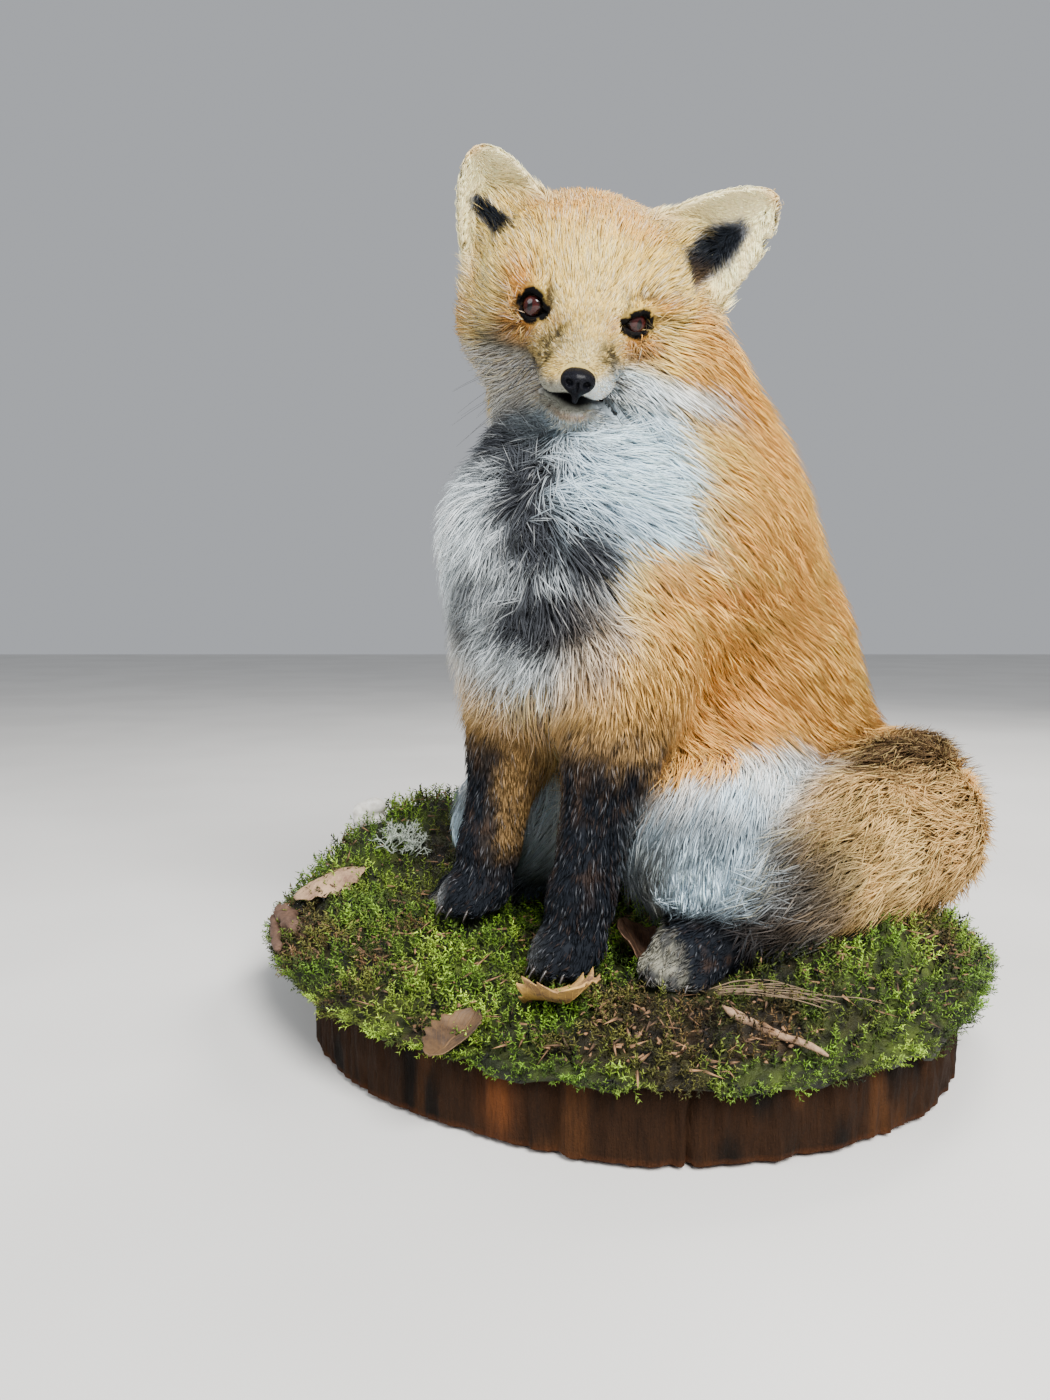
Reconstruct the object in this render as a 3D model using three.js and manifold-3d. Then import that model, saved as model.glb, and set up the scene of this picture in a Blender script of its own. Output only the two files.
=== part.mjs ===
// A seated red fox, mounted life-size on a round slab of log covered with moss and leaf litter.
// Millimetres, +Z up. The origin is the centre of the slab's underside, and the fox looks towards -Y.
import * as THREE from "three";
import { mergeVertices } from "three/addons/utils/BufferGeometryUtils.js";
import Module from "manifold-3d";

const wasm = await Module();
wasm.setup();

// ---------------------------------------------------------------- driving dimensions

const SLAB_RADIUS = 204; // of the log slice, on average round its outline
const SLAB_HEIGHT = 44;
const MOSS_OVERHANG = 3; // the mat hangs over the slab's edge by this, on average
const MOSS_DEPTH = 18; // of the mat above the slab, away from its mounds

const BODY_TURN = 45; // degrees that the trunk is turned to the fox's right of straight ahead
const BODY_CENTRE = [11.5, -4.5]; // the point that the trunk's own measures start from

const HEAD_CENTRE = [-35.5, -42, 439.5];
const HEAD_PITCH = 26; // degrees that the muzzle points down
const HEAD_YAW = 2; // degrees that the muzzle is turned to the fox's right
const HEAD_ROLL = 10; // degrees that the fox's left side is lower

const EYE_RADIUS = 8.4;
const EYE_PLACE = [26.5, -38.5, 2.5]; // of the fox's left eye, in the head's frame
const GAZE = [0.45, -0.88, 0.1]; // which way the left eye looks
const NOSE_PLACE = [0.3, -90, -21.6];
const NOSE_HALVES = [9.3, 8.2, 6.8];

const CUT = 0.5; // the gap where two solids of the body meet
const CLEARANCE = 2.5; // how far a solid is hollowed round another that presses into it

// ---------------------------------------------------------------- frames

const degrees = THREE.MathUtils.degToRad;
const range = (count) => Array.from({ length: count }, (_, i) => i);
const V = (x, y, z) => new THREE.Vector3(x, y, z);

const forward = V(-Math.sin(degrees(BODY_TURN)), -Math.cos(degrees(BODY_TURN)), 0);
const leftward = V(-forward.y, forward.x, 0);

// A point of the trunk's frame: forward, to the fox's left, and up.
function at(f, l, u) {
  return V(BODY_CENTRE[0], BODY_CENTRE[1], u).addScaledVector(forward, f).addScaledVector(leftward, l);
}

// The head's frame: x to the fox's left, y to its nape, z to its crown.
function headMatrix() {
  const level = V(-Math.sin(degrees(HEAD_YAW)), -Math.cos(degrees(HEAD_YAW)), 0);
  const side = V(-level.y, level.x, 0);
  const pitch = degrees(HEAD_PITCH);
  const ahead = level.clone().multiplyScalar(Math.cos(pitch)).addScaledVector(V(0, 0, 1), -Math.sin(pitch));
  const crown = V(0, 0, Math.cos(pitch)).addScaledVector(level, Math.sin(pitch));
  const roll = degrees(HEAD_ROLL);
  const left = side.clone().multiplyScalar(Math.cos(roll)).addScaledVector(crown, -Math.sin(roll));
  const up = crown.clone().multiplyScalar(Math.cos(roll)).addScaledVector(side, Math.sin(roll));
  const frame = new THREE.Matrix4().makeBasis(left, ahead.clone().negate(), up);
  return frame.setPosition(...HEAD_CENTRE);
}

const headFrame = headMatrix();
const inHead = (x, y, z) => V(x, y, z).applyMatrix4(headFrame);

// ---------------------------------------------------------------- fields
// A field is how far a point is outside a shape, and is negative inside it.

// A limb is a tapered bar with round ends. Its section is a circle, or an ellipse that is `stretch` times as
// wide along the direction `wide`.
function limb(from, to, r0, r1, blend = 24, wide = null, stretch = 1) {
  return { from, to, r0, r1, blend, wide: wide ? wide.clone().normalize() : null, stretch };
}

const axis = V(0, 0, 0);
const offset = V(0, 0, 0);

function limbDistance(part, point) {
  axis.subVectors(part.to, part.from);
  offset.subVectors(point, part.from);
  const length2 = Math.max(axis.lengthSq(), 1e-9);
  const along = THREE.MathUtils.clamp(offset.dot(axis) / length2, 0, 1);
  offset.addScaledVector(axis, -along);
  if (part.wide) offset.addScaledVector(part.wide, offset.dot(part.wide) * (1 / part.stretch - 1));
  return offset.length() - THREE.MathUtils.lerp(part.r0, part.r1, along);
}

// The smaller of two distances, rounded off over the width `k` where they meet.
function smoothMin(a, b, k) {
  const h = Math.max(k - Math.abs(a - b), 0) / k;
  return Math.min(a, b) - (h * h * k) / 4;
}

const unionOf = (limbs) => (point) =>
  limbs.reduce((d, part) => smoothMin(d, limbDistance(part, point), part.blend), 1e3);

// ---------------------------------------------------------------- the fox, out to the tips of its coat

const bothSides = (make) => [1, -1].flatMap(make);
const across = inHead(1, 0, 0).sub(inHead(0, 0, 0)); // the head's own left

const trunkLimbs = [
  limb(at(-112, 2, 146), at(-64, 0, 235), 98, 88), // haunches
  limb(at(-64, 0, 235), at(-24, -2, 318), 90, 80),
  limb(at(-30, 0, 285), at(44, -6, 288), 80, 74, 24),
  limb(at(56, -12, 284), at(68, -12, 254), 74, 69, 24), // brisket and bib
  limb(at(-70, 0, 130), at(20, 0, 190), 70, 56, 30), // belly
  ...bothSides((s) => [
    limb(at(-66, s * 46, 146), at(38, s * 66, 136), 64, 46, 30), // thigh
    limb(at(30, s * 42, 285), at(70, s * 40, 225), 48, 36, 30), // shoulder
  ]),
];

const neckLimbs = [
  limb(at(2, 2, 318), at(12, -2, 388), 88, 72, 34),
  limb(at(64, -19, 306), at(40, -22, 352), 76, 62, 20), // throat ruff
];

// For each foreleg: the height of the moss under it, then its shoulder, elbow, wrist, pastern and paw as
// forward, left and up, with the heights of the last three over the moss.
const FORELEGS = {
  left: {
    sole: 66,
    joints: [[74, 41, 222], [91, 43, 182], [109, 39, 40], [115, 38, 18], [128, 38, 12]],
  },
  right: {
    sole: 82,
    joints: [[74, -38, 222], [89, -37, 182], [103, -41, 40], [108, -43, 18], [122, -44, 12]],
  },
};
const HIND_SOLE = 61; // height of the moss under the hind feet

function foreleg(side) {
  const { sole, joints } = FORELEGS[side];
  const [shoulder, elbowJoint, wristJoint, pastern, paw] = joints.map(([f, l, u], i) =>
    at(f, l, i < 2 ? u : sole + u));
  const [ahead, aside] = joints[4];
  return [
    limb(shoulder, elbowJoint, 32, 25.5, 18),
    limb(elbowJoint, wristJoint, 24, 17.8, 14),
    limb(wristJoint, pastern, 17.8, 17.2, 10),
    limb(pastern.clone().setZ(pastern.z - 3), paw, 15.5, 12.5, 8, leftward, 1.3),
    limb(at(ahead - 7, aside, sole + 11), at(ahead + 6, aside, sole + 7), 8.2, 7.4, 4, leftward, 2.2), // toes
  ];
}

function hindFoot(s) {
  const sole = HIND_SOLE;
  return [
    limb(at(56, s * 78, 118), at(26, s * 86, 90), 34, 22, 18),
    limb(at(22, s * 87, sole + 23), at(62, s * 88, sole + 19), 21, 18, 10, leftward, 1.15),
    limb(at(62, s * 88, sole + 18), at(82, s * 88.5, sole + 16), 18, 16.5, 8, leftward, 1.3),
    limb(at(78, s * 88, sole + 13), at(95, s * 88.5, sole + 10), 9.8, 9, 4, leftward, 2.3), // toes
  ];
}

// The tail comes round the fox's left side, as rings along a curve: how far each is along, and its radius.
const TAIL_CURVE = new THREE.CatmullRomCurve3([
  at(-160, -10, 128),
  at(-172, 50, 129),
  at(-138, 104, 131),
  at(-86, 127, 132),
  at(-34, 130, 128),
  at(10, 126, 116),
  at(46, 118, 103),
]);
const TAIL_RINGS = [[0, 34], [0.18, 47], [0.36, 54], [0.55, 54], [0.72, 47], [0.87, 38], [1, 25]];
const tailLimbs = TAIL_RINGS.slice(1).map(([t, r], i) => {
  const [before, r0] = TAIL_RINGS[i];
  return limb(TAIL_CURVE.getPoint(before), TAIL_CURVE.getPoint(t), r0, r, 12);
});

const craniumLimbs = [
  limb(inHead(0, -8, 18), inHead(0, 32, 14), 41, 46, 20, across, 1.4),
  limb(inHead(2, 22, -34), inHead(4, 38, -60), 58, 54, 30), // throat under the head
  ...bothSides((s) => [
    limb(inHead(s * 20, -22, 16), inHead(s * 36, -14, 19), 18, 18, 16), // brow
    limb(inHead(s * 24, -6, -12), inHead(s * 42, 12, -18), 33, 32, 24), // cheek
    limb(inHead(s * 38, 22, 20), inHead(s * 50, 20, 36), 28, 18, 16), // root of the ear
  ]),
  limb(inHead(2, -14, -58), inHead(3, -58, -58), 26, 15, 14), // throat under the chin
  limb(inHead(17, -49, 11.5), inHead(42, -34, 14), 6.5, 7.5, 4), // left brow, knitted
  limb(inHead(-16, -50, 12), inHead(-36, -36, 17), 5.5, 7, 4), // right brow
];
const muzzleLimbs = [
  limb(inHead(0, -28, 12), inHead(0, -74, -14), 23, 12, 16), // bridge
  ...bothSides((s) => [
    limb(inHead(s * 11, -42, -15), inHead(s * 9.5, -76, -23.5), 17, 11, 10), // side and lip
  ]),
];
const chinLimbs = [limb(inHead(0, -34, -45), inHead(0.5, -76, -42.5), 14, 5.6, 5, across, 1.6)];

const legLimbs = [...foreleg("left"), ...foreleg("right"), ...bothSides(hindFoot)];
const headLimbs = [...craniumLimbs, ...muzzleLimbs, ...chinLimbs];
const bodyField = unionOf([...trunkLimbs, ...neckLimbs, ...legLimbs, ...headLimbs]);
const tailField = unionOf(tailLimbs);

// An ear is a cupped leaf between the two ends of its base and its tip, in the head's frame.
const EARS = {
  left: { inner: [30, 14, 50], outer: [78, 12, 6], tip: [98, 6, 74], side: 1 },
  right: { inner: [-30, 14, 50], outer: [-74, 12, 14], tip: [-74, 4, 71], side: -1 },
};
const EAR_CUP = 16; // how deep the cup is at its base
const EAR_THICKNESS = 6;

// The point of an ear at u across, from -1 at its outer edge to 1 at its inner, and v along it from its base.
function earPoint({ inner, outer, tip, side }, u, v, face) {
  const [a, b, t] = [outer, inner, tip].map((p) => V(...p));
  const middle = a.clone().lerp(b, 0.5);
  const upright = t.clone().sub(middle);
  const half = b.clone().sub(a).divideScalar(2);
  const opening = half.clone().cross(upright).multiplyScalar(-side).normalize();
  const width = (1 - v) ** 0.55 * (1 + 0.25 * v);
  const cup = EAR_CUP * (1 - u * u) * (1 - v) ** 0.6;
  const thick = EAR_THICKNESS * (0.35 + 0.65 * Math.sqrt(1 - 0.96 * u * u)) * (1 - 0.4 * v) * face / 2;
  return middle.addScaledVector(upright, v).addScaledVector(half, u * width)
    .addScaledVector(opening, thick - cup);
}

// ---------------------------------------------------------------- the slab, its moss and its litter

// How far the log's bark is from its centre, in the direction of the angle given.
function slabReach(angle) {
  return SLAB_RADIUS * (1 + 0.02 * Math.sin(3 * angle - 1.2) + 0.008 * Math.sin(7 * angle + 0.6));
}

// How far the mat of moss hangs over the slab's edge: most at the fox's right and under its tail.
const OVERHANGS = [[150, 36, 44], [2, 24, 24]]; // angle, width in degrees, and how far
function mossReach(angle) {
  return slabReach(angle) + OVERHANGS.reduce((sum, [centre, wide, far]) => {
    const off = Math.atan2(Math.sin(angle - degrees(centre)), Math.cos(angle - degrees(centre)));
    return sum + far * Math.exp(-((off / degrees(wide)) ** 2));
  }, MOSS_OVERHANG);
}

// Mounds of the moss: where they are, how high they stand over the mat, and how wide they are.
const MOUNDS = [
  [-160, 112, 54, 60], // behind the fox's right side
  [-60, 140, 36, 50],
  [-96, -46, 18, 30], // under the right forepaw
  [70, 120, 22, 50],
  [130, -74, 30, 56], // under the tail
  [60, -150, 4, 28],
  [112, -112, 15, 30], // before the tail
];

function mossHeight(x, y) {
  const swell = MOUNDS.reduce((sum, [mx, my, tall, wide]) =>
    sum + tall * Math.exp(-((x - mx) ** 2 + (y - my) ** 2) / (2 * wide ** 2)), 0);
  const lumps = 2.2 * Math.sin(x / 11 + 1) * Math.sin(y / 13) + 1.6 * Math.sin(x / 23 - y / 17);
  const edge = Math.hypot(x, y) / mossReach(Math.atan2(y, x));
  const thin = 1 - 0.75 * THREE.MathUtils.smoothstep(edge, 0.82, 1.02);
  return SLAB_HEIGHT + (MOSS_DEPTH + swell + lumps) * thin;
}

// ---------------------------------------------------------------- faceting

// The surface where a field is zero, as one quad round each grid edge that it crosses, with the corners
// slid onto the field.
function isoSurface(field, low, high, cell) {
  const counts = high.clone().sub(low).divideScalar(cell).ceil().toArray().map((n) => n + 1);
  const [nx, ny, nz] = counts;
  const index = (i, j, k) => i + nx * (j + ny * k);
  const place = (i, j, k) => V(low.x + i * cell, low.y + j * cell, low.z + k * cell);
  const values = new Float64Array(nx * ny * nz);
  for (let k = 0; k < nz; k++)
    for (let j = 0; j < ny; j++)
      for (let i = 0; i < nx; i++) {
        const border = [[i, nx], [j, ny], [k, nz]].some(([n, count]) => n < 2 || n === count - 1);
        values[index(i, j, k)] = Math.max(field(place(i, j, k)), border ? 1 : -1e3);
      }

  const corners = [0, 1].flatMap((k) => [0, 1].flatMap((j) => [0, 1].map((i) => [i, j, k])));
  const edges = corners.flatMap((a, m) => corners.slice(m + 1).map((b) => [a, b]))
    .filter(([a, b]) => a.reduce((sum, v, n) => sum + Math.abs(v - b[n]), 0) === 1);
  const vertexOf = new Map();
  const positions = [];
  for (let k = 0; k < nz - 1; k++)
    for (let j = 0; j < ny - 1; j++)
      for (let i = 0; i < nx - 1; i++) {
        const mean = V(0, 0, 0);
        let crossings = 0;
        for (const [a, b] of edges) {
          const va = values[index(i + a[0], j + a[1], k + a[2])];
          const vb = values[index(i + b[0], j + b[1], k + b[2])];
          if (va < 0 === vb < 0) continue;
          const start = place(i + a[0], j + a[1], k + a[2]);
          mean.add(start.lerp(place(i + b[0], j + b[1], k + b[2]), va / (va - vb)));
          crossings++;
        }
        if (!crossings) continue;
        vertexOf.set(index(i, j, k), positions.length / 3);
        positions.push(...settle(field, mean.divideScalar(crossings), cell / 3).toArray());
      }

  const triangles = [];
  const quad = (flip, a, b, c, d) => triangles.push(...(flip ? [a, b, c, a, c, d] : [a, c, b, a, d, c]));
  const step = [1, nx, nx * ny];
  for (let k = 1; k < nz - 1; k++)
    for (let j = 1; j < ny - 1; j++)
      for (let i = 1; i < nx - 1; i++)
        for (let along = 0; along < 3; along++) {
          const here = index(i, j, k);
          const inside = values[here] < 0;
          if (inside === values[here + step[along]] < 0) continue;
          const [u, v] = [step[(along + 1) % 3], step[(along + 2) % 3]];
          quad(inside, ...[here - u - v, here - v, here, here - u].map((n) => vertexOf.get(n)));
        }
  const geometry = new THREE.BufferGeometry();
  geometry.setAttribute("position", new THREE.Float32BufferAttribute(positions, 3));
  return geometry.setIndex(triangles);
}

// Moves a point onto a field's zero surface, no further than `most`.
function settle(field, point, most) {
  const start = point.clone();
  const h = 0.5;
  for (let round = 0; round < 3; round++) {
    const d = field(point);
    const slope = V(
      field(V(point.x + h, point.y, point.z)) - field(V(point.x - h, point.y, point.z)),
      field(V(point.x, point.y + h, point.z)) - field(V(point.x, point.y - h, point.z)),
      field(V(point.x, point.y, point.z + h)) - field(V(point.x, point.y, point.z - h)),
    ).divideScalar(2 * h);
    point.addScaledVector(slope, -d / Math.max(slope.lengthSq(), 0.05));
  }
  const moved = point.clone().sub(start);
  return start.add(moved.clampLength(0, most));
}

// ---------------------------------------------------------------- solids

function solid(geometry) {
  const bare = new THREE.BufferGeometry().setAttribute("position", geometry.getAttribute("position").clone());
  if (geometry.index) bare.setIndex(geometry.index.clone());
  const merged = mergeVertices(bare, 1e-4);
  return new wasm.Manifold(new wasm.Mesh({
    numProp: 3,
    vertProperties: merged.attributes.position.array,
    triVerts: new Uint32Array(merged.index.array),
  }));
}

// The mesh of a solid, with corners closer than `WELD` made one and the slivers between them dropped.
const WELD = 0.02;
function geometryOf(made) {
  const { numProp, numVert, vertProperties, triVerts } = made.getMesh();
  const positions = new Float32Array(numVert * 3);
  for (const i of range(numVert)) {
    positions.set(vertProperties.subarray(i * numProp, i * numProp + 3), i * 3);
  }
  const loose = new THREE.BufferGeometry();
  loose.setAttribute("position", new THREE.BufferAttribute(positions, 3));
  loose.setIndex(new THREE.BufferAttribute(new Uint32Array(triVerts), 1));
  const geometry = mergeVertices(loose, WELD);
  const kept = [];
  for (const i of range(geometry.index.count / 3)) {
    const [a, b, c] = [0, 1, 2].map((n) => geometry.index.getX(3 * i + n));
    if (a !== b && b !== c && c !== a) kept.push(a, b, c);
  }
  geometry.setIndex(kept);
  geometry.computeVertexNormals();
  return geometry;
}

// A thin cut: what it keeps lies on the side that `normal` points to.
function cut(point, normal) {
  return { point, normal: normal.clone().normalize() };
}

const otherSide = ({ point, normal }) => cut(point, normal.clone().negate());

// Whether each edge of a solid's mesh lies between just two triangles.
function isSound(made) {
  const index = geometryOf(made).index;
  const uses = new Map();
  for (const i of range(index.count)) {
    const [a, b] = [index.getX(i), index.getX(i % 3 === 2 ? i - 2 : i + 1)];
    const key = a < b ? `${a} ${b}` : `${b} ${a}`;
    uses.set(key, (uses.get(key) ?? 0) + 1);
  }
  return [...uses.values()].every((count) => count === 2);
}

// What `shape` makes of the solid inside a field. A grid that meets a thin crease badly pinches the surface,
// so the next one is tried.
function facet(field, low, high, cell, shape = (whole) => whole) {
  for (const turn of range(14)) {
    const shift = (turn * 0.382 * cell) % cell;
    try {
      const made = shape(solid(isoSurface(field, low.clone().subScalar(shift), high, cell)));
      if (isSound(made)) return made;
    } catch (problem) {
      if (problem.code !== "NotManifold") throw problem;
    }
  }
  throw new Error("no grid gives a closed surface");
}

// ---------------------------------------------------------------- where the body is parted

const up = V(0, 0, 1);
const headAxis = (x, y, z) => inHead(x, y, z).sub(inHead(0, 0, 0));
const nape = cut(at(30, -12, 380), V(-0.1, -0.32, 1));
const neckRoot = cut(at(20, -4, 322), forward.clone().multiplyScalar(0.35).add(up));
const elbow = cut(at(90, 0, 196), up);
const midline = cut(at(0, 0, 0), leftward);
const girth = cut(at(0, 0, 250), forward.clone().multiplyScalar(0.8).addScaledVector(up, 0.6));
const loin = cut(at(-60, 0, 215), forward.clone().multiplyScalar(0.45).add(up));
const inFront = (s) => forward.clone().multiplyScalar(0.854).addScaledVector(leftward, -0.52 * s);
const stifle = (s) => cut(at(74, s * 43, 0), inFront(s));
const wrist = (side) => cut(at(0, 0, FORELEGS[side].sole + 40), up);
const groin = (s) => cut(at(0, s * 40, 0), leftward.clone().multiplyScalar(s));
const hip = cut(at(0, 0, 196), up);
const hock = (s) => cut(at(46, s * 80, 104), forward.clone().multiplyScalar(0.4).addScaledVector(up, -1));
const snout = cut(inHead(0, -47, -12), headAxis(0, -1, -0.2));
const gullet = cut(inHead(0, -50, -64), headAxis(0, 0, 1));
const jowl = (s) => cut(inHead(s * 32, 0, 0), headAxis(-s, 0, 0));
const mouth = cut(inHead(0, -60, -35.5), headAxis(0, 0, -1));
const ownSide = (s) => (s > 0 ? midline : otherSide(midline));

// Each node of flesh, in the order in which it is parted from what is left: its cuts, how large its facets
// are, and its colour.
const SIDES = [["left", 1], ["right", -1]];
const FLESH = [
  ["lower_jaw", [snout, mouth, gullet, jowl(1), jowl(-1)], 9.5, "pale"],
  ["muzzle", [snout, otherSide(mouth), jowl(1), jowl(-1)], 9.5, "pale"],
  ["head", [nape], 18.6, "pale"],
  ["neck", [neckRoot], 26, "white"],
  ...SIDES.flatMap(([side, s]) => {
    const leg = [otherSide(elbow), stifle(s), ownSide(s)];
    return [
      [`forepaw_${side}`, [...leg, otherSide(wrist(side))], 11.5, "dark"],
      [`foreleg_${side}`, leg, 16, "dark"],
      [`hind_foot_${side}`, [groin(s), hock(s)], 14.5, "grey"],
      [`thigh_${side}`, [groin(s), otherSide(hip)], 26, "white"],
    ];
  }),
  ["chest", [girth], 28, "white"],
  ["back", [loin], 30, "orange"],
  ["rump", [], 35, "orange"],
];
const TAIL_SPLITS = [0.3, 0.68];
const TAIL_NODES = ["tail_root", "tail_middle", "tail_tip"];
const TAIL_CELL = 25;
const HEAD_REACH = [V(-150, -170, 330), V(90, 60, 540)];
const BODY_REACH = [V(-140, -180, 40), V(200, 200, 540)];
const TAIL_REACH = [V(-40, -120, 50), V(230, 240, 200)];

// The space that some cuts keep, with the gap round it.
function space(cuts) {
  const all = solid(new THREE.BoxGeometry(1500, 1500, 1500));
  return cuts.reduce((kept, c) => kept.trimByPlane(c.normal.toArray(), c.normal.dot(c.point) - CUT / 2), all);
}

const trimmed = (made, cuts) => cuts.reduce(
  (kept, c) => kept.trimByPlane(c.normal.toArray(), c.normal.dot(c.point) + CUT / 2), made);
const minus = (made, others) => others.reduce((kept, other) => kept.subtract(other), made);
const largest = (made) => made.decompose().sort((a, b) => b.volume() - a.volume())[0];
const grown = (field, gap) => (point) => field(point) - gap;

// ---------------------------------------------------------------- the model

const COLOURS = {
  orange: 0xc98a4b, pale: 0xd9c49a, white: 0xd8dadb, grey: 0x8d8f93, dark: 0x2b2b30, tail: 0x9c8460,
  black: 0x101014, brown: 0x3a1712, wood: 0x3b2a20, moss: 0x5b7a2c, leaf: 0x9a7656, bark: 0x4a3a2e,
  lichen: 0xc4c8ba,
};

const root = new THREE.Group();

function add(name, made, colour, roughness = 0.85) {
  parts[name] = made;
  const material = new THREE.MeshStandardMaterial({ color: COLOURS[colour], roughness, metalness: 0 });
  const mesh = new THREE.Mesh(geometryOf(made), material);
  mesh.name = name;
  root.add(mesh);
}

// A ball, or an egg with the half-widths given, in the head's frame.
function egg(place, halves, around, rings) {
  const geometry = new THREE.SphereGeometry(1, around, rings).scale(...halves).translate(...place);
  return solid(geometry.applyMatrix4(headFrame));
}

// A closed plate between two faces. `point` gives the place at u across, v along, on face 1 or -1.
function plate(point, across, along) {
  const row = across + 1;
  const back = row * (along + 1);
  const positions = [1, -1].flatMap((face) => range(along + 1).flatMap((j) => range(row).flatMap((i) =>
    point((2 * i) / across - 1, j / along, face).toArray())));
  const triangles = [];
  const quad = (a, b, c, d) => triangles.push(a, b, c, a, c, d);
  for (const j of range(along))
    for (const i of range(across)) {
      const a = i + j * row;
      quad(a, a + 1, a + row + 1, a + row);
      quad(back + a, back + a + row, back + a + row + 1, back + a + 1);
    }
  for (const i of range(across)) {
    const t = i + along * row;
    quad(i, back + i, back + i + 1, i + 1);
    quad(t, t + 1, back + t + 1, back + t);
  }
  for (const j of range(along)) {
    const a = j * row;
    const b = a + across;
    quad(a, a + row, back + a + row, back + a);
    quad(b, back + b, back + b + row, b + row);
  }
  const geometry = new THREE.BufferGeometry();
  geometry.setAttribute("position", new THREE.Float32BufferAttribute(positions, 3));
  return geometry.setIndex(triangles);
}

function outward(geometry) {
  const made = solid(geometry);
  if (made.volume() > 0) return made;
  const index = geometry.index.array;
  for (let i = 0; i < index.length; i += 3) [index[i + 1], index[i + 2]] = [index[i + 2], index[i + 1]];
  return solid(geometry);
}

const parts = {};
const isHead = (name) => ["lower_jaw", "muzzle", "head"].includes(name);

// What is left of a solid once it stands clear of parts that are already made.
const clearOf = (made, names) => names.reduce(
  (kept, name) => (kept.intersect(parts[name]).isEmpty() ? kept : kept.subtract(parts[name])), made);

// Eyes and nose, each with the hollow that it sits in.
const EYE_GAP = 0.9;
const SOCKET = [[0, -1], [0.5, -0.87], [0.87, -0.5], [1, 0], [1.3, 1.8], [0, 1.8]]; // in radii of the eye
const hollows = [egg(NOSE_PLACE, NOSE_HALVES.map((half) => half + 0.8), 10, 7)];
add("nose", egg(NOSE_PLACE, NOSE_HALVES, 10, 7), "black", 0.45);
for (const [side, s] of SIDES) {
  const place = [s * EYE_PLACE[0], EYE_PLACE[1], EYE_PLACE[2]];
  const section = SOCKET.map(([r, out]) => new THREE.Vector2(r, out).multiplyScalar(EYE_RADIUS + EYE_GAP));
  const sight = V(s * GAZE[0], GAZE[1], GAZE[2]).normalize();
  const gaze = new THREE.Quaternion().setFromUnitVectors(V(0, 1, 0), sight);
  const socket = new THREE.LatheGeometry(section, 12).applyQuaternion(gaze).translate(...place);
  hollows.push(outward(socket.applyMatrix4(headFrame)));
  add(`eye_${side}`, egg(place, [EYE_RADIUS, EYE_RADIUS, EYE_RADIUS], 10, 7), "brown", 0.1);
}

// The flesh.
const taken = [];
for (const [name, cuts, cell, colour] of FLESH) {
  const beyond = (point) => cuts.reduce(
    (d, c) => Math.max(d, -offset.subVectors(point, c.point).dot(c.normal) - 1.2 * cell), bodyField(point));
  const others = [...taken, ...(isHead(name) ? hollows : [])];
  const reach = isHead(name) ? HEAD_REACH : BODY_REACH;
  add(name, facet(beyond, ...reach, cell, (whole) => largest(minus(trimmed(whole, cuts), others))), colour);
  taken.push(space(cuts));
}

// The ears.
const headField = unionOf([...headLimbs, ...neckLimbs, ...trunkLimbs]);
const headGrown = facet(grown(headField, 1.2), ...HEAD_REACH, 14);
const EAR_END = 0.985; // the share of an ear's length at which its blunt tip ends
for (const [side] of SIDES) {
  const edge = (u, v, face) => earPoint(EARS[side], u, v * EAR_END, face).applyMatrix4(headFrame);
  const ear = outward(plate(edge, 6, 5));
  add(`ear_${side}`, largest(clearOf(ear.subtract(headGrown), ["head"])), "pale");
}

// The tail, hollowed where it lies against the body.
const bodyGrown = facet(grown(bodyField, CLEARANCE), V(-140, -180, 40), V(240, 240, 300), 22);
const RESTING = ["rump", "back", "thigh_left", "thigh_right", "hind_foot_left", "hind_foot_right"];
const tail = clearOf(facet(tailField, ...TAIL_REACH, TAIL_CELL).subtract(bodyGrown), RESTING);
const tailCuts = TAIL_SPLITS.map((t) => cut(TAIL_CURVE.getPoint(t), TAIL_CURVE.getTangent(t)));
TAIL_NODES.forEach((name, i) => {
  const cuts = [...(i > 0 ? [tailCuts[i - 1]] : []), ...(i < 2 ? [otherSide(tailCuts[i])] : [])];
  add(name, largest(trimmed(tail, cuts)), "tail");
});

// The slab: a turned blank, pushed in and out to the log's outline.
const SLAB_PROFILE = [
  [0, 0], [0.965, 0], [1, 8], [0.985, SLAB_HEIGHT - 4], [0.96, SLAB_HEIGHT], [0, SLAB_HEIGHT],
];
function displaced(geometry, place) {
  const corners = geometry.getAttribute("position");
  for (const i of range(corners.count))
    corners.setXYZ(i, ...place(corners.getX(i), corners.getY(i), corners.getZ(i)));
  return geometry;
}
const turned = (profile, around) =>
  new THREE.LatheGeometry(profile.map(([r, z]) => new THREE.Vector2(r, z)), around).rotateX(Math.PI / 2);
const slab = outward(displaced(turned(SLAB_PROFILE, 48), (x, y, z) => {
  const reach = slabReach(Math.atan2(y, x));
  return [x * reach, y * reach, z];
}));
add("base_slab", slab, "wood");

// What lies on the moss: each leaf with its place, turn, tilt, length, width and cup, then the rest.
const LEAVES = {
  leaf_front: { place: [-50, -163], turn: 215, tilt: 12, long: 56, wide: 40, cup: 7 },
  leaf_left: { place: [-202, 26], turn: 120, tilt: -16, long: 52, wide: 34, cup: -8 },
  leaf_rim: { place: [-104, -176], turn: 330, tilt: 20, long: 48, wide: 30, cup: 6 },
  leaf_curled: { place: [-2, -84], turn: 40, tilt: 34, long: 46, wide: 32, cup: 9 },
};
const LEAF_THICKNESS = 1.6;

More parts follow.
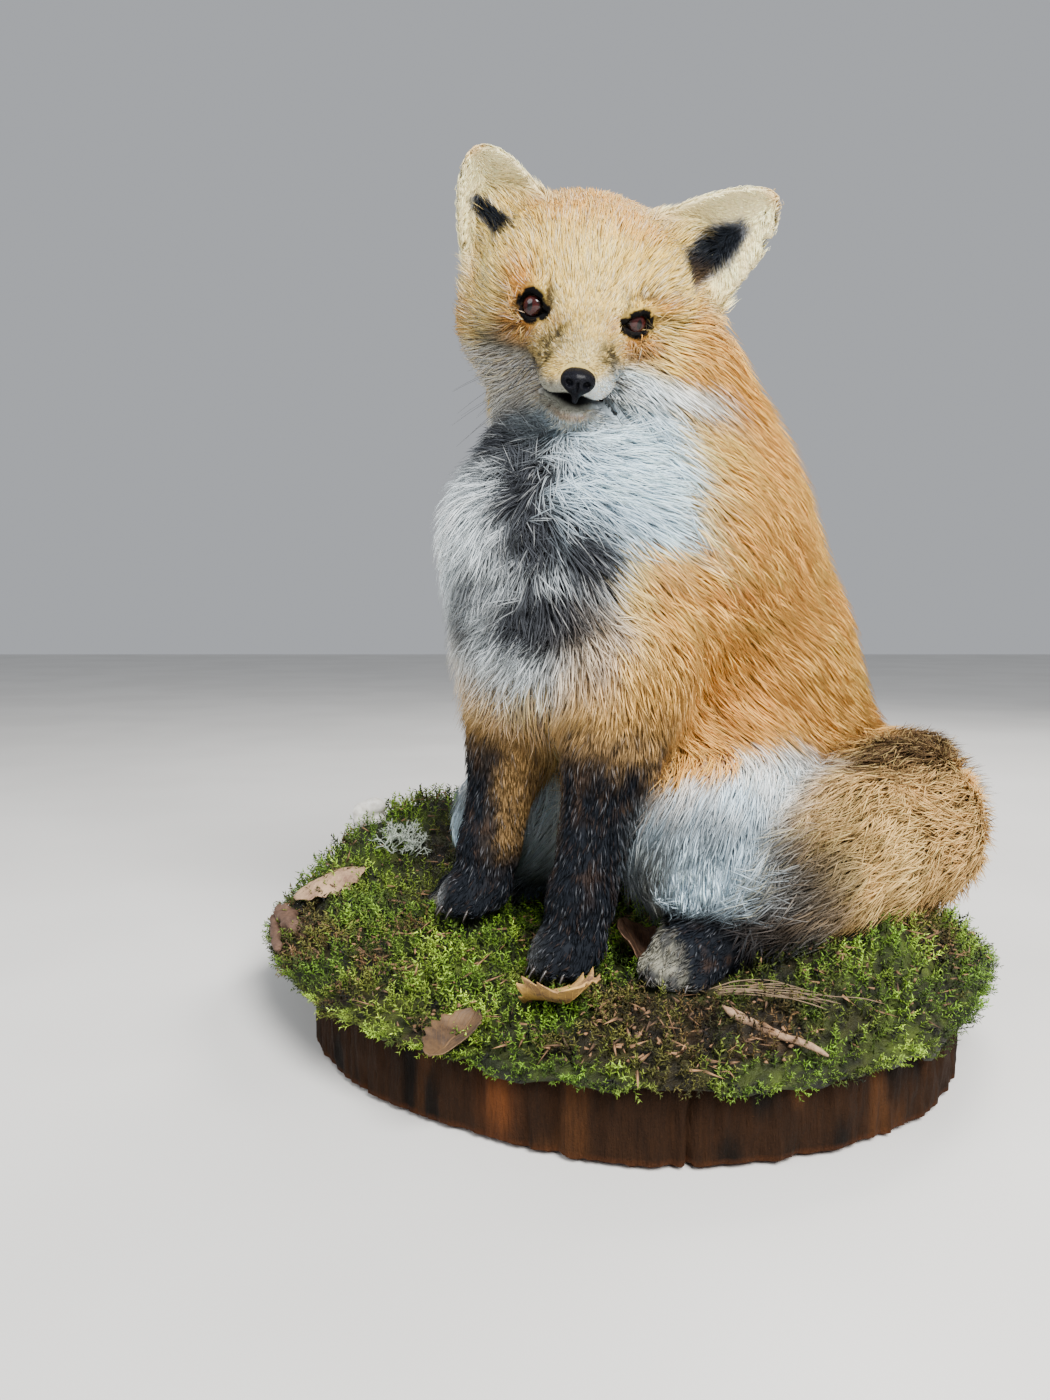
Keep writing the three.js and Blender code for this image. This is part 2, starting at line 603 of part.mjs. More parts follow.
function leafPoint({ place, turn, tilt, long, wide, cup }, u, v, face, gap = 0) {
  const along = (v - 0.5) * (long + 2 * gap);
  const half = (wide / 2) * Math.sin(Math.PI * (0.06 + 0.88 * v)) ** 0.7 + gap;
  const dish = cup * ((2 * u * half / wide) ** 2 + 0.6 * (2 * along / long) ** 2);
  const point = V(u * half, along, dish + face * (LEAF_THICKNESS / 2 + gap));
  point.applyAxisAngle(V(1, 0, 0), degrees(tilt)).applyAxisAngle(V(0, 0, 1), degrees(turn));
  return point.add(V(...place, mossHeight(...place) + 2));
}

// A bar with round ends between two points over the moss, bowed upwards in the middle.
function bar({ from, to, radius, flat = 1, bow = 0 }, gap = 0) {
  const ends = [from, to].map(([x, y, lift]) => V(x, y, mossHeight(x, y) + lift));
  const run = ends[1].clone().sub(ends[0]);
  const geometry = new THREE.CapsuleGeometry(radius + gap, run.length(), 2, 6);
  displaced(geometry, (x, y, z) => [x, y, z * flat + bow * (1 - (2 * y / run.length()) ** 2)]);
  const facing = new THREE.Matrix4().lookAt(ends[0], ends[1], V(0, 0, 1));
  facing.multiply(new THREE.Matrix4().makeRotationX(-Math.PI / 2));
  const turn = new THREE.Quaternion().setFromRotationMatrix(facing);
  return outward(geometry.applyQuaternion(turn).translate(...ends[0].clone().lerp(ends[1], 0.5).toArray()));
}
const BARS = [
  ["twig", "bark", { from: [26, -170, 4], to: [72, -196, 4], radius: 2.6 }],
  ["root", "leaf", { from: [28, -152, 3], to: [78, -170, 4], radius: 2, bow: 3 }],
  ["bark_chip", "bark", { from: [92, -118, 3], to: [116, -124, 3], radius: 6 }],
  ["bark_clump", "bark", { from: [-236, 30, 2], to: [-214, -20, 2], radius: 8 }],
  ["lichen", "lichen", { from: [-170, 62, 4], to: [-146, 52, 4], radius: 11 }],
  ["stone", "lichen", { from: [-192, 104, 4], to: [-182, 108, 4], radius: 9 }],
];

// The moss: a mat that rises to its mounds and thins to its edge, hollowed round everything that lies on it.
const MOSS_RINGS = [0, 0.3, 0.52, 0.7, 0.85, 0.94, 1];
const MOSS_UNDER = SLAB_HEIGHT + CUT;
const mat = outward(displaced(
  turned([...MOSS_RINGS.map((r) => [r, 1]), [0.985, 0], [0, 0]], 28), (x, y, z) => {
    const reach = mossReach(Math.atan2(y, x));
    return [x * reach, y * reach, z > 0.5 ? mossHeight(x * reach, y * reach) : MOSS_UNDER];
  }));
const pressing = [
  facet(grown(bodyField, CLEARANCE), V(-140, -180, 30), V(240, 240, 160), 21),
  facet(grown(tailField, CLEARANCE), ...TAIL_REACH, TAIL_CELL),
];
for (const [name, leaf] of Object.entries(LEAVES)) {
  const blade = (gap) => outward(plate((u, v, face) => leafPoint(leaf, u, v, face, gap), 2, 4));
  add(name, blade(0), "leaf");
  pressing.push(blade(CLEARANCE / 2));
}
for (const [name, colour, shape] of BARS) {
  add(name, bar(shape), colour);
  pressing.push(bar(shape, CLEARANCE / 2));
}
const STANDING = [...RESTING, "forepaw_left", "forepaw_right", ...TAIL_NODES];
add("moss", largest(clearOf(minus(mat, pressing), STANDING)), "moss");

export default root;
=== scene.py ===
"""The looks of a seated red fox, mounted life-size on a slab of log covered with moss and leaf litter.

Lengths are in millimetres while shapes are worked out, and meshes are made in metres.
"""

import logging
import math
from dataclasses import dataclass
from enum import Enum
from typing import Any, Callable, Iterable, Optional, Sequence

import bpy
import numpy as np
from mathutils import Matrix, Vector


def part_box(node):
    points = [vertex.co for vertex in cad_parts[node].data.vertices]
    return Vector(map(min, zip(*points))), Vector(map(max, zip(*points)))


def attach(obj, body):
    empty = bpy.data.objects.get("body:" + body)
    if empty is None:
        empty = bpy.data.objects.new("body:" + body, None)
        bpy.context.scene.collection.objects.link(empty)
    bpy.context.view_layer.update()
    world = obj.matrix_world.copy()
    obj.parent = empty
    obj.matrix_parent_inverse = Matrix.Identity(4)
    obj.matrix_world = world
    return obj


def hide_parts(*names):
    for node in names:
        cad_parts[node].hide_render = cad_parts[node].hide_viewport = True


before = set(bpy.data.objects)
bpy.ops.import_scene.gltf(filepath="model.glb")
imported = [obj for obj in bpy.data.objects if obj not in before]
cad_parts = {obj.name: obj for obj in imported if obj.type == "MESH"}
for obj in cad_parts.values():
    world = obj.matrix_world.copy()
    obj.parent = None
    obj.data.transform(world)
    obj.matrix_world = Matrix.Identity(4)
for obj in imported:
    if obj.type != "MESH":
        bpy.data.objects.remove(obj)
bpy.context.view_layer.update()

LOG = logging.getLogger("fox")
MM = 0.001
ROOT_BODY = "root"
BAKE_MAP = "OFBake"
COLOUR_LAYER = "markings"

Array = np.ndarray
Spans = tuple[tuple[float, float, float], ...]

# ---------------------------------------------------------------- frames

BODY_TURN = math.radians(45.0)  # the trunk is turned to the fox's right of straight ahead
BODY_CENTRE = (11.5, -4.5)
HEAD_CENTRE = np.array([-35.5, -42.0, 439.5])
HEAD_PITCH = math.radians(26.0)  # the muzzle points down
HEAD_YAW = math.radians(2.0)
HEAD_ROLL = math.radians(10.0)  # the fox's left side is lower

UP = np.array([0.0, 0.0, 1.0])
FORWARD = np.array([-math.sin(BODY_TURN), -math.cos(BODY_TURN), 0.0])
LEFTWARD = np.array([-FORWARD[1], FORWARD[0], 0.0])


def at(forward: float, left: float, up: float) -> Array:
    """The world point at a place of the trunk's frame."""
    return np.array([*BODY_CENTRE, up]) + FORWARD * forward + LEFTWARD * left


def head_basis() -> Array:
    """The head's axes as columns: to its left, to its nape, and to its crown.

    Returns:
        The three columns.
    """
    level = np.array([-math.sin(HEAD_YAW), -math.cos(HEAD_YAW), 0.0])
    side = np.array([-level[1], level[0], 0.0])
    ahead = level * math.cos(HEAD_PITCH) - UP * math.sin(HEAD_PITCH)
    crown = UP * math.cos(HEAD_PITCH) + level * math.sin(HEAD_PITCH)
    left = side * math.cos(HEAD_ROLL) - crown * math.sin(HEAD_ROLL)
    upward = crown * math.cos(HEAD_ROLL) + side * math.sin(HEAD_ROLL)
    return np.stack([left, -ahead, upward], 1)


HEAD = head_basis()


def in_head(x: float, y: float, z: float) -> Array:
    """The world point at a place of the head's frame."""
    return HEAD_CENTRE + HEAD @ np.array([x, y, z], float)


def to_head(points: Array) -> Array:
    """World points in the head's frame."""
    return (points - HEAD_CENTRE) @ HEAD


def from_head(places: Array) -> Array:
    """Places of the head's frame as world points."""
    return HEAD_CENTRE + places @ HEAD.T


def to_trunk(points: Array) -> Array:
    """World points in the trunk's frame: forward, left and up."""
    off = points - np.array([*BODY_CENTRE, 0.0])
    return np.stack([off @ FORWARD, off @ LEFTWARD, points[:, 2]], 1)


# ---------------------------------------------------------------- small maths

def unit(vectors: Array) -> Array:
    """Vectors made one long."""
    return vectors / np.maximum(np.linalg.norm(vectors, axis=-1, keepdims=True), 1e-9)


def lengths(vectors: Array) -> Array:
    """How long each vector is."""
    return np.linalg.norm(vectors, axis=1)


def dots(a: Array, b: Array) -> Array:
    """Row by row dot products."""
    return np.einsum("ij,ij->i", a, b)


def step(values: Array, low: float, high: float) -> Array:
    """A smooth rise from 0 at low to 1 at high; it falls where low is above high."""
    t = np.clip((values - low) / (high - low), 0.0, 1.0)
    return t * t * (3 - 2 * t)


def smooth_min(a: Array, b: Array, width: float) -> Array:
    """The smaller of two distances, rounded off where they meet."""
    h = np.maximum(width - np.abs(a - b), 0.0) / width
    return np.minimum(a, b) - h * h * width / 4


def smooth_max(a: Array, b: Array, width: float) -> Array:
    """The larger of two distances, rounded off where they meet."""
    return -smooth_min(-a, -b, width)


def blob(points: Array, centre: Sequence[float], radii: Sequence[float]) -> Array:
    """A soft spot, 1 at its centre and falling off over its radii."""
    off = (points - np.array(centre, float)) / np.array(radii, float)
    return np.exp(-dots(off, off))


WORD = 0xFFFFFFFF  # the bits that the scrambling of lattice cells keeps
CELL_PRIMES = (73856093, 19349663, 83492791)
SEED_PRIME = 2654435761
MIXING_PRIME = 1274126177
LAST_PRIME = 668265263


def hashed(cells: Array, seed: int) -> Array:
    """A scrambled whole number for each cell of a lattice.

    Args:
        cells: The cells, one row each.
        seed: Which set of random values.

    Returns:
        One number for each cell.
    """
    i, j, k = (cells[:, n] * prime for n, prime in enumerate(CELL_PRIMES))
    mixed = (i ^ j ^ k ^ (seed * SEED_PRIME)) & WORD
    return ((mixed ^ (mixed >> 13)) * MIXING_PRIME) & WORD


def noise(points: Array, size: float, seed: int = 0) -> Array:
    """Smooth random values from -1 to 1 that change over about `size`.

    Args:
        points: World points in millimetres.
        size: About how wide the changes are.
        seed: Which set of random values.

    Returns:
        One value for each point.
    """
    scaled = points / size
    base = np.floor(scaled).astype(np.int64)
    f = scaled - base
    f = f * f * (3 - 2 * f)
    total = np.zeros(len(points))
    for corner in np.ndindex(2, 2, 2):
        mixed = hashed(base + np.array(corner), seed)
        value = ((mixed ^ (mixed >> 16)) & 0xFFFF) / 32767.5 - 1
        weight = np.ones(len(points))
        for n in range(3):
            weight = weight * (f[:, n] if corner[n] else 1 - f[:, n])
        total += value * weight
    return total


def drift(points: Array, size: float, seed: int) -> Array:
    """Smooth random vectors, whose parts use this seed and the next two."""
    return np.stack([noise(points, size, seed + n) for n in range(3)], 1)


def scrambled(cells: Array, seed: int) -> Array:
    """Three random values from 0 to 1 for each cell of a lattice.

    Args:
        cells: The cells, one row each.
        seed: Which set of random values.

    Returns:
        Three values for each cell.
    """
    mixed = hashed(cells, seed)
    mixed = ((mixed ^ (mixed >> 16)) * LAST_PRIME) & WORD
    mixed = mixed ^ (mixed >> 15)
    return np.stack([(mixed >> shift & 0x3FF) / 1023 for shift in (0, 10, 20)], 1)


def locks(points: Array, size: float, seed: int) -> tuple[Array, Array]:
    """The lock of hair that each point belongs to.

    Args:
        points: The places of the roots.
        size: About how wide the locks are.
        seed: Which set of locks.

    Returns:
        The lock's centre for each point, and three random values of the lock.
    """
    scaled = points / size
    base = np.floor(scaled).astype(np.int64)
    best = np.full(len(points), 1e9)
    centre, chance = np.zeros_like(points), np.zeros_like(points)
    for shift in np.ndindex(3, 3, 3):
        cells = base + np.array(shift) - 1
        place = cells + scrambled(cells, seed)
        off = place - scaled
        far = dots(off, off)
        closer = far < best
        best[closer] = far[closer]
        centre[closer] = place[closer] * size
        chance[closer] = scrambled(cells[closer], seed + 1)
    return centre, chance


def circle(count: int) -> Array:
    """Angles spread evenly round a circle."""
    return np.linspace(0, 2 * math.pi, count, endpoint=False)


def spokes(angles: Array) -> Array:
    """The plan direction of each angle."""
    return np.stack([np.cos(angles), np.sin(angles)], 1)


def raised(plan: Array, height: Any) -> Array:
    """Plan places as points at one height, or at a height each."""
    return np.column_stack([plan, np.broadcast_to(height, len(plan))])


def linear(*shade: float) -> Array:
    """A linear colour from display values between 0 and 1."""
    values = np.array(shade, float)
    return np.where(values <= 0.04045, values / 12.92, ((values + 0.055) / 1.055) ** 2.4)


def paint(colours: Array, shade: Array, mask: Array) -> Array:
    """Colours laid over with a shade where the mask says."""
    amount = np.clip(mask, 0.0, 1.0)[:, None]
    return colours * (1 - amount) + shade * amount


# ---------------------------------------------------------------- the coat's zones

class Zone(Enum):
    """The parts of the body whose coats differ."""

    CROWN = "crown"
    FACE = "face"
    CHEEK = "cheek"
    MUZZLE = "muzzle"
    EAR = "ear"
    THROAT = "throat"
    NECK = "neck"
    BIB = "bib"
    FLANK = "flank"
    THIGH = "thigh"
    UPPER_LEG = "upper_leg"
    LOWER_LEG = "lower_leg"
    PAW = "paw"
    TAIL = "tail"


@dataclass(frozen=True)
class Coat:
    """How the coat grows on a zone: millimetres, and tufts to a square centimetre."""

    length: float
    depth: float
    width: float
    density: float
    wave: float = 0.15


COATS = {
    Zone.CROWN: Coat(17, 3.6, 0.68, 58, 0.09),
    Zone.FACE: Coat(11, 2.2, 0.52, 125, 0.1),
    Zone.CHEEK: Coat(25, 5.5, 0.76, 52, 0.13),
    Zone.MUZZLE: Coat(5.6, 1.2, 0.42, 210, 0.12),
    Zone.EAR: Coat(5, 0.9, 0.46, 82, 0.06),
    Zone.THROAT: Coat(28, 8, 0.9, 44, 0.24),
    Zone.NECK: Coat(42, 11, 0.95, 34, 0.13),
    Zone.BIB: Coat(36, 12, 0.78, 41, 0.2),
    Zone.FLANK: Coat(43, 10, 0.95, 27, 0.12),
    Zone.THIGH: Coat(46, 8, 0.9, 25, 0.08),
    Zone.UPPER_LEG: Coat(16, 4, 0.95, 22, 0.14),
    Zone.LOWER_LEG: Coat(9, 2.4, 0.9, 25, 0.14),
    Zone.PAW: Coat(6, 1.6, 0.8, 32, 0.14),
    Zone.TAIL: Coat(36, 12, 0.8, 40, 0.17),
}


# ---------------------------------------------------------------- fields: distance outside the skin

@dataclass(frozen=True)
class Limb:
    """A tapered bar with round ends, whose section may be stretched along one direction."""

    start: Array
    end: Array
    start_radius: float
    end_radius: float
    zone: Zone
    blend: float = 24.0
    wide: Optional[Array] = None
    stretch: float = 1.0

    def distance(self, points: Array) -> Array:
        """How far points are outside the limb's skin, which lies inside its coat.

        Args:
            points: World points in millimetres.

        Returns:
            The distances, negative inside.
        """
        axis = self.end - self.start
        off = points - self.start
        along = np.clip(off @ axis / max(axis @ axis, 1e-9), 0.0, 1.0)
        off = off - along[:, None] * axis
        if self.wide is not None:
            off = off + (off @ self.wide * (1 / self.stretch - 1))[:, None] * self.wide
        radius = self.start_radius + (self.end_radius - self.start_radius) * along
        return lengths(off) - radius + COATS[self.zone].depth

    def near(self, points: Array, margin: float) -> Array:
        """Which points are within a margin of the limb's bounding ball.

        Args:
            points: World points in millimetres.
            margin: How far outside the limb still counts.

        Returns:
            True for each point that is.
        """
        middle = (self.start + self.end) / 2
        reach = np.linalg.norm(self.end - self.start) / 2
        reach += max(self.start_radius, self.end_radius) * max(self.stretch, 1) + margin
        off = points - middle
        return dots(off, off) < reach * reach


BOTH_SIDES = (1, -1)
SOLES = {1: 66.0, -1: 82.0}  # height of the moss under the left and right forepaw
HIND_SOLE = 61.0
FORELEGS = {  # shoulder, elbow, wrist, pastern and paw: forward, left and up, the last three over the sole
    1: ((74, 41, 222), (91, 43, 182), (109, 39, 40), (115, 38, 18), (128, 38, 12)),
    -1: ((74, -38, 222), (89, -37, 182), (103, -41, 40), (108, -43, 18), (122, -44, 12)),
}
TAIL_POINTS = ((-160, -10, 128), (-172, 50, 129), (-138, 104, 131), (-86, 127, 132), (-34, 130, 128),
               (10, 126, 116), (46, 118, 103))
TAIL_RINGS = ((0, 34), (0.18, 47), (0.36, 54), (0.55, 54), (0.72, 47), (0.87, 38), (1, 25))
TOE_SPREAD = (-10.4, -3.6, 3.6, 10.4)
TOE_REACH = (-3.0, 2.5, 2.5, -3.0)


def tail_point(t: float) -> Array:
    """A point of the tail's curve, from its root at 0 to its tip at 1.

    Args:
        t: How far along the curve.

    Returns:
        The point.
    """
    points = [at(*p) for p in TAIL_POINTS]
    spot = t * (len(points) - 1)
    i = min(int(spot), len(points) - 2)
    f = spot - i
    before = points[i - 1] if i > 0 else 2 * points[0] - points[1]
    after = points[i + 2] if i + 2 < len(points) else 2 * points[-1] - points[-2]
    a, b, c, d = before, points[i], points[i + 1], after
    first, last = np.linalg.norm(b - a) ** 0.5, np.linalg.norm(d - c) ** 0.5
    middle = np.linalg.norm(c - b) ** 0.5
    leave = ((b - a) / first - (c - a) / (first + middle) + (c - b) / middle) * middle
    arrive = ((c - b) / middle - (d - b) / (middle + last) + (d - c) / last) * middle
    return ((2 * f**3 - 3 * f**2 + 1) * b + (f**3 - 2 * f**2 + f) * leave
            + (-2 * f**3 + 3 * f**2) * c + (f**3 - f**2) * arrive)


def trunk_limbs() -> list[Limb]:
    """The trunk, thighs and shoulders.

    Returns:
        The limbs.
    """
    limbs = [
        Limb(at(-112, 2, 146), at(-64, 0, 235), 98, 88, Zone.FLANK),
        Limb(at(-64, 0, 235), at(-24, -2, 318), 90, 80, Zone.FLANK),
        Limb(at(-30, 0, 285), at(44, -6, 288), 80, 74, Zone.FLANK),
        Limb(at(56, -12, 284), at(68, -12, 254), 74, 69, Zone.BIB),
        Limb(at(-70, 0, 130), at(20, 0, 190), 70, 56, Zone.THIGH, 30),
    ]
    for s in BOTH_SIDES:
        limbs.append(Limb(at(-66, s * 46, 146), at(38, s * 66, 136), 64, 46, Zone.THIGH, 30))
        limbs.append(Limb(at(30, s * 42, 285), at(70, s * 40, 225), 48, 36, Zone.FLANK, 30))
    return limbs


def neck_limbs() -> list[Limb]:
    """The neck and the ruff of the throat.

    Returns:
        The limbs.
    """
    return [
        Limb(at(2, 2, 318), at(12, -2, 388), 88, 72, Zone.NECK, 34),
        Limb(at(64, -19, 306), at(40, -22, 352), 76, 62, Zone.BIB, 20),
    ]


def foreleg_limbs(s: int) -> list[Limb]:
    """One foreleg, with the toes of its paw.

    Args:
        s: 1 for the left side and -1 for the right.

    Returns:
        The limbs, the four toes last.
    """
    sole = SOLES[s]
    shoulder, elbow = (at(*place) for place in FORELEGS[s][:2])
    wrist, pastern, paw = (at(f, l, sole + u) for f, l, u in FORELEGS[s][2:])
    ahead, side, _ = FORELEGS[s][4]
    limbs = [
        Limb(shoulder, elbow, 32, 25.5, Zone.UPPER_LEG, 18),
        Limb(elbow, wrist, 24, 17.8, Zone.LOWER_LEG, 14),
        Limb(wrist, pastern, 17.8, 17.2, Zone.LOWER_LEG, 10),
        Limb(pastern - UP * 3, paw, 15.5, 12.5, Zone.PAW, 8, LEFTWARD, 1.3),
    ]
    for off, reach in zip(TOE_SPREAD, TOE_REACH):
        start, end = at(ahead - 9, side + off, sole + 11), at(ahead + 4 + reach, side + off * 1.1, sole + 7)
        limbs.append(Limb(start, end, 8.2, 7.4, Zone.PAW, 3.5))
    return limbs


def hind_foot_limbs(s: int) -> list[Limb]:
    """One hind foot, with its toes.

    Args:
        s: 1 for the left side and -1 for the right.

    Returns:
        The limbs, the four toes last.
    """
    limbs = [
        Limb(at(56, s * 78, 118), at(26, s * 86, 90), 34, 22, Zone.UPPER_LEG, 18),
        Limb(at(22, s * 87, HIND_SOLE + 23), at(62, s * 88, HIND_SOLE + 19), 21, 18, Zone.LOWER_LEG, 10,
             LEFTWARD, 1.15),
        Limb(at(62, s * 88, HIND_SOLE + 18), at(82, s * 88.5, HIND_SOLE + 16), 18, 16.5, Zone.PAW, 8,
             LEFTWARD, 1.3),
    ]
    for off, reach in zip(TOE_SPREAD, TOE_REACH):
        start = at(78, s * 88 + off * 1.1, HIND_SOLE + 13)
        end = at(95 + reach, s * 88.5 + off * 1.3, HIND_SOLE + 10)
        limbs.append(Limb(start, end, 9.8, 9.0, Zone.PAW, 3.5))
    return limbs


def tail_limbs() -> list[Limb]:
    """The tail, a row of bars along its curve.

    Returns:
        The limbs.
    """
    limbs = []
    for (before, r0), (after, r1) in zip(TAIL_RINGS, TAIL_RINGS[1:]):
        limbs.append(Limb(tail_point(before), tail_point(after), r0, r1, Zone.TAIL, 12))
    return limbs


def head_limbs() -> list[Limb]:
    """The cranium, throat, brows, cheeks, muzzle and chin.

    Returns:
        The limbs.
    """
    across = HEAD[:, 0]
    limbs = [
        Limb(in_head(0, -8, 18), in_head(0, 32, 14), 41, 46, Zone.CROWN, 20, across, 1.4),
        Limb(in_head(2, 22, -34), in_head(4, 38, -60), 58, 54, Zone.THROAT, 30),
    ]
    for s in BOTH_SIDES:
        limbs += [
            Limb(in_head(s * 20, -22, 16), in_head(s * 36, -14, 19), 18, 18, Zone.FACE, 16),
            Limb(in_head(s * 24, -6, -12), in_head(s * 42, 12, -18), 33, 32, Zone.CHEEK, 24),
            Limb(in_head(s * 38, 22, 20), in_head(s * 50, 20, 36), 28, 18, Zone.CROWN, 16),
        ]
    limbs.append(Limb(in_head(0, -28, 12), in_head(0, -74, -14), 23, 12, Zone.MUZZLE, 16))
    for s in BOTH_SIDES:
        limbs.append(Limb(in_head(s * 11, -42, -15), in_head(s * 9.5, -76, -23.5), 17, 11, Zone.MUZZLE, 10))
    limbs.append(Limb(in_head(0, -34, -45), in_head(0.5, -76, -42.5), 14, 5.6, Zone.MUZZLE, 5, across, 1.6))
    limbs.append(Limb(in_head(2, -14, -58), in_head(3, -58, -58), 26, 15, Zone.THROAT, 14))
    limbs.append(Limb(in_head(17, -49, 11.5), in_head(42, -34, 14), 6.5, 7.5, Zone.FACE, 4))
    limbs.append(Limb(in_head(-16, -50, 12), in_head(-36, -36, 17), 5.5, 7, Zone.FACE, 4))
    return limbs


@dataclass(frozen=True)
class Ear:
    """A cupped leaf between the two ends of its base and its tip, in the head's frame."""

    inner: tuple[float, float, float]
    outer: tuple[float, float, float]
    tip: tuple[float, float, float]
    side: int
    cup: float = 16.0
    thickness: float = 5.2

    def axes(self) -> tuple[Array, Array]:
        """The middle of the base, and the half width, upright and opening directions as columns.

        Returns:
            Both, in the head's frame.
        """
        a, b, t = (np.array(p, float) for p in (self.outer, self.inner, self.tip))
        middle = (a + b) / 2
        upright = t - middle
        half = (b - a) / 2
        opening = np.cross(half, upright) * -self.side
        return middle, np.stack([half, upright, opening / np.linalg.norm(opening)], 1)

    def local(self, points: Array) -> tuple[Array, Array, Array]:
        """World points as u across, v along and w out of the opening.

        Args:
            points: World points in millimetres.

        Returns:
            The three.
        """
        middle, columns = self.axes()
        place = (to_head(points) - middle) @ np.linalg.inv(columns).T
        v = np.clip(place[:, 1], -0.2, 0.995)
        return place[:, 0] / self.width(v), place[:, 1], place[:, 2]

    @staticmethod
    def width(v: Array) -> Array:
        """The ear's half width along it, as a share of its base's."""
        return np.clip(1 - v, 0.004, 1.2) ** 0.55 * (1 + 0.25 * v)

    def middle(self, u: Array, v: Array) -> Array:
        """How far out of the opening the middle of the cupped leaf lies at u and v."""
        return -self.cup * (1 - np.clip(np.abs(u), 0, 1) ** 2.4) * np.clip(1 - v, 0, 1) ** 0.6

    def distance(self, points: Array) -> Array:
        """How far points are outside the ear's skin.

        Args:
            points: World points in millimetres.

        Returns:
            The distances, negative inside.
        """
        _, columns = self.axes()
        u, v, w = self.local(points)
        wide = np.linalg.norm(columns[:, 0]) * self.width(np.clip(v, -0.2, 0.995))
        tall = np.linalg.norm(columns[:, 1])
        inside = np.clip(1 - v, 0.0, 1.0)
        thick = self.thickness * (0.6 + 0.4 * inside)
        across = np.abs(w - self.middle(u, v)) * 0.86 - thick / 2
        outline = (np.abs(u) - 1) * wide * 0.85 + 0.6
        ends = np.maximum((v - 0.985) * tall, (-0.2 - v) * tall)
        return smooth_max(smooth_max(across, outline, 2.4), ends, 2.0)


def ear_pocket(ear: Ear, u: Array, v: Array) -> Array:
    """How deep in the ear's pocket places are, seen into its opening; the pocket is painted dark as shade in
    the ear's hollow.

    Args:
        ear: The ear.
        u: Places across it.
        v: Places along it.

    Returns:
        From 0 outside it to 1 at its middle.
    """
    middle, high, wide, slope = (0.30, 0.36, 0.44, 0.0) if ear.side > 0 else (0.23, 0.18, 0.46, -0.5)
    rise = v - middle - slope * (u + 0.12)
    return np.exp(-(((u + 0.12) / wide) ** 2 + (rise / high) ** 2) ** 1.6)


EARS = (
    Ear((30, 14, 50), (78, 12, 6), (98, 6, 74), 1),
    Ear((-30, 14, 50), (-74, 12, 14), (-74, 4, 71), -1),
)


@dataclass(frozen=True)
class Eye:
    """An eyeball and its lids, with the opening's half sizes, in the head's frame."""

    side: int
    long: float
    high: float
    low: float
    frown: float
    radius: float = 8.4
    slant: float = math.radians(8)
    lid: float = 1.7
    duct: float = 5.2

    @property
    def centre(self) -> Array:
        """The ball's centre in the head's frame."""
        return np.array([self.side * 26.5, -38.5, 2.5])

    def axes(self) -> Array:
        """Outward along the opening, up across it, and the gaze, as columns in the head's frame.

        Returns:
            The three columns.
        """
        gaze = np.array([self.side * 0.45, -0.88, 0.1])
        gaze /= np.linalg.norm(gaze)
        out = np.cross(gaze, [0.0, 0.0, 1.0]) * -self.side
        out = out / np.linalg.norm(out) * math.cos(self.slant) + np.array([0, 0, 1.0]) * math.sin(self.slant)
        out -= gaze * (out @ gaze)
        out /= np.linalg.norm(out)
        up = np.cross(out, gaze)
        if up[2] < 0:
            up = -up
        return np.stack([out, up, gaze], 1)

    def local(self, points: Array) -> Array:
        """World points as distances out, up and along the gaze from the ball's centre."""
        return (to_head(points) - self.centre) @ self.axes()

    def half_height(self, a: Array, upper: Array) -> Array:
        """How far the opening goes up or down at a place along it.

        Args:
            a: Places along the opening.
            upper: Whether each is in the upper half.

        Returns:
            The half heights.
        """
        round_part = np.sqrt(np.clip(1 - (a / self.long) ** 2, 0, 1))
        lid_line = self.high - self.frown * np.clip(0.5 - a / self.long, 0, 1.6)
        high = np.minimum(self.high * round_part, np.maximum(lid_line, 0.2))
        corner = 1.9 * np.clip((self.long + self.duct + a) / (self.duct + 2.5), 0, 1) ** 0.8
        corner = np.where(a < 0, corner, 0)
        return np.maximum(np.where(upper, high, self.low * round_part), corner * np.where(upper, 0.75, 1.1))

    def opening(self, place: Array) -> Array:
        """How far places are outside the opening between the lids, seen along the gaze.

        Args:
            place: Distances out, up and along the gaze.

        Returns:
            The distances, negative inside it.
        """
        a, b = place[:, 0], place[:, 1]
        height = self.half_height(np.clip(a, -self.long - self.duct, self.long), b > 0)
        ends = np.maximum(a - self.long, -a - self.long - self.duct)
        return np.maximum((np.abs(b) - height) * 0.8, ends)

    def outline(self, count: int) -> Array:
        """Points round the opening's edge, as distances out and up.

        Args:
            count: How many points.

        Returns:
            Two distances for each point.
        """
        turn = circle(count)
        middle = -self.duct / 2
        reach = self.long + self.duct / 2
        a = middle + reach * np.cos(turn)
        b = self.half_height(a, np.sin(turn) > 0) * np.sign(np.sin(turn))
        return np.stack([a, b], 1)

    def carve(self, distance: Array, points: Array) -> Array:
        """The head's field with the lids laid over the ball and the opening cut between them.

        Args:
            distance: The head's field at the points.
            points: World points in millimetres.

        Returns:
            The new field at the points.
        """
        place = self.local(points)
        reach = lengths(place)
        near = reach < 30
        if not near.any():
            return distance
        d, place, reach = distance[near], place[near], reach[near]
        d = smooth_min(d, reach - self.radius - self.lid, 5.0)
        cone = np.maximum(self.opening(place), 2.0 - place[:, 2])
        shallow = np.maximum(cone, self.radius - 0.8 - reach)
        d = smooth_max(d, -shallow, 0.8)
        d = np.maximum(d, self.radius + 0.25 - reach)
        result = distance.copy()
        result[near] = d
        return result


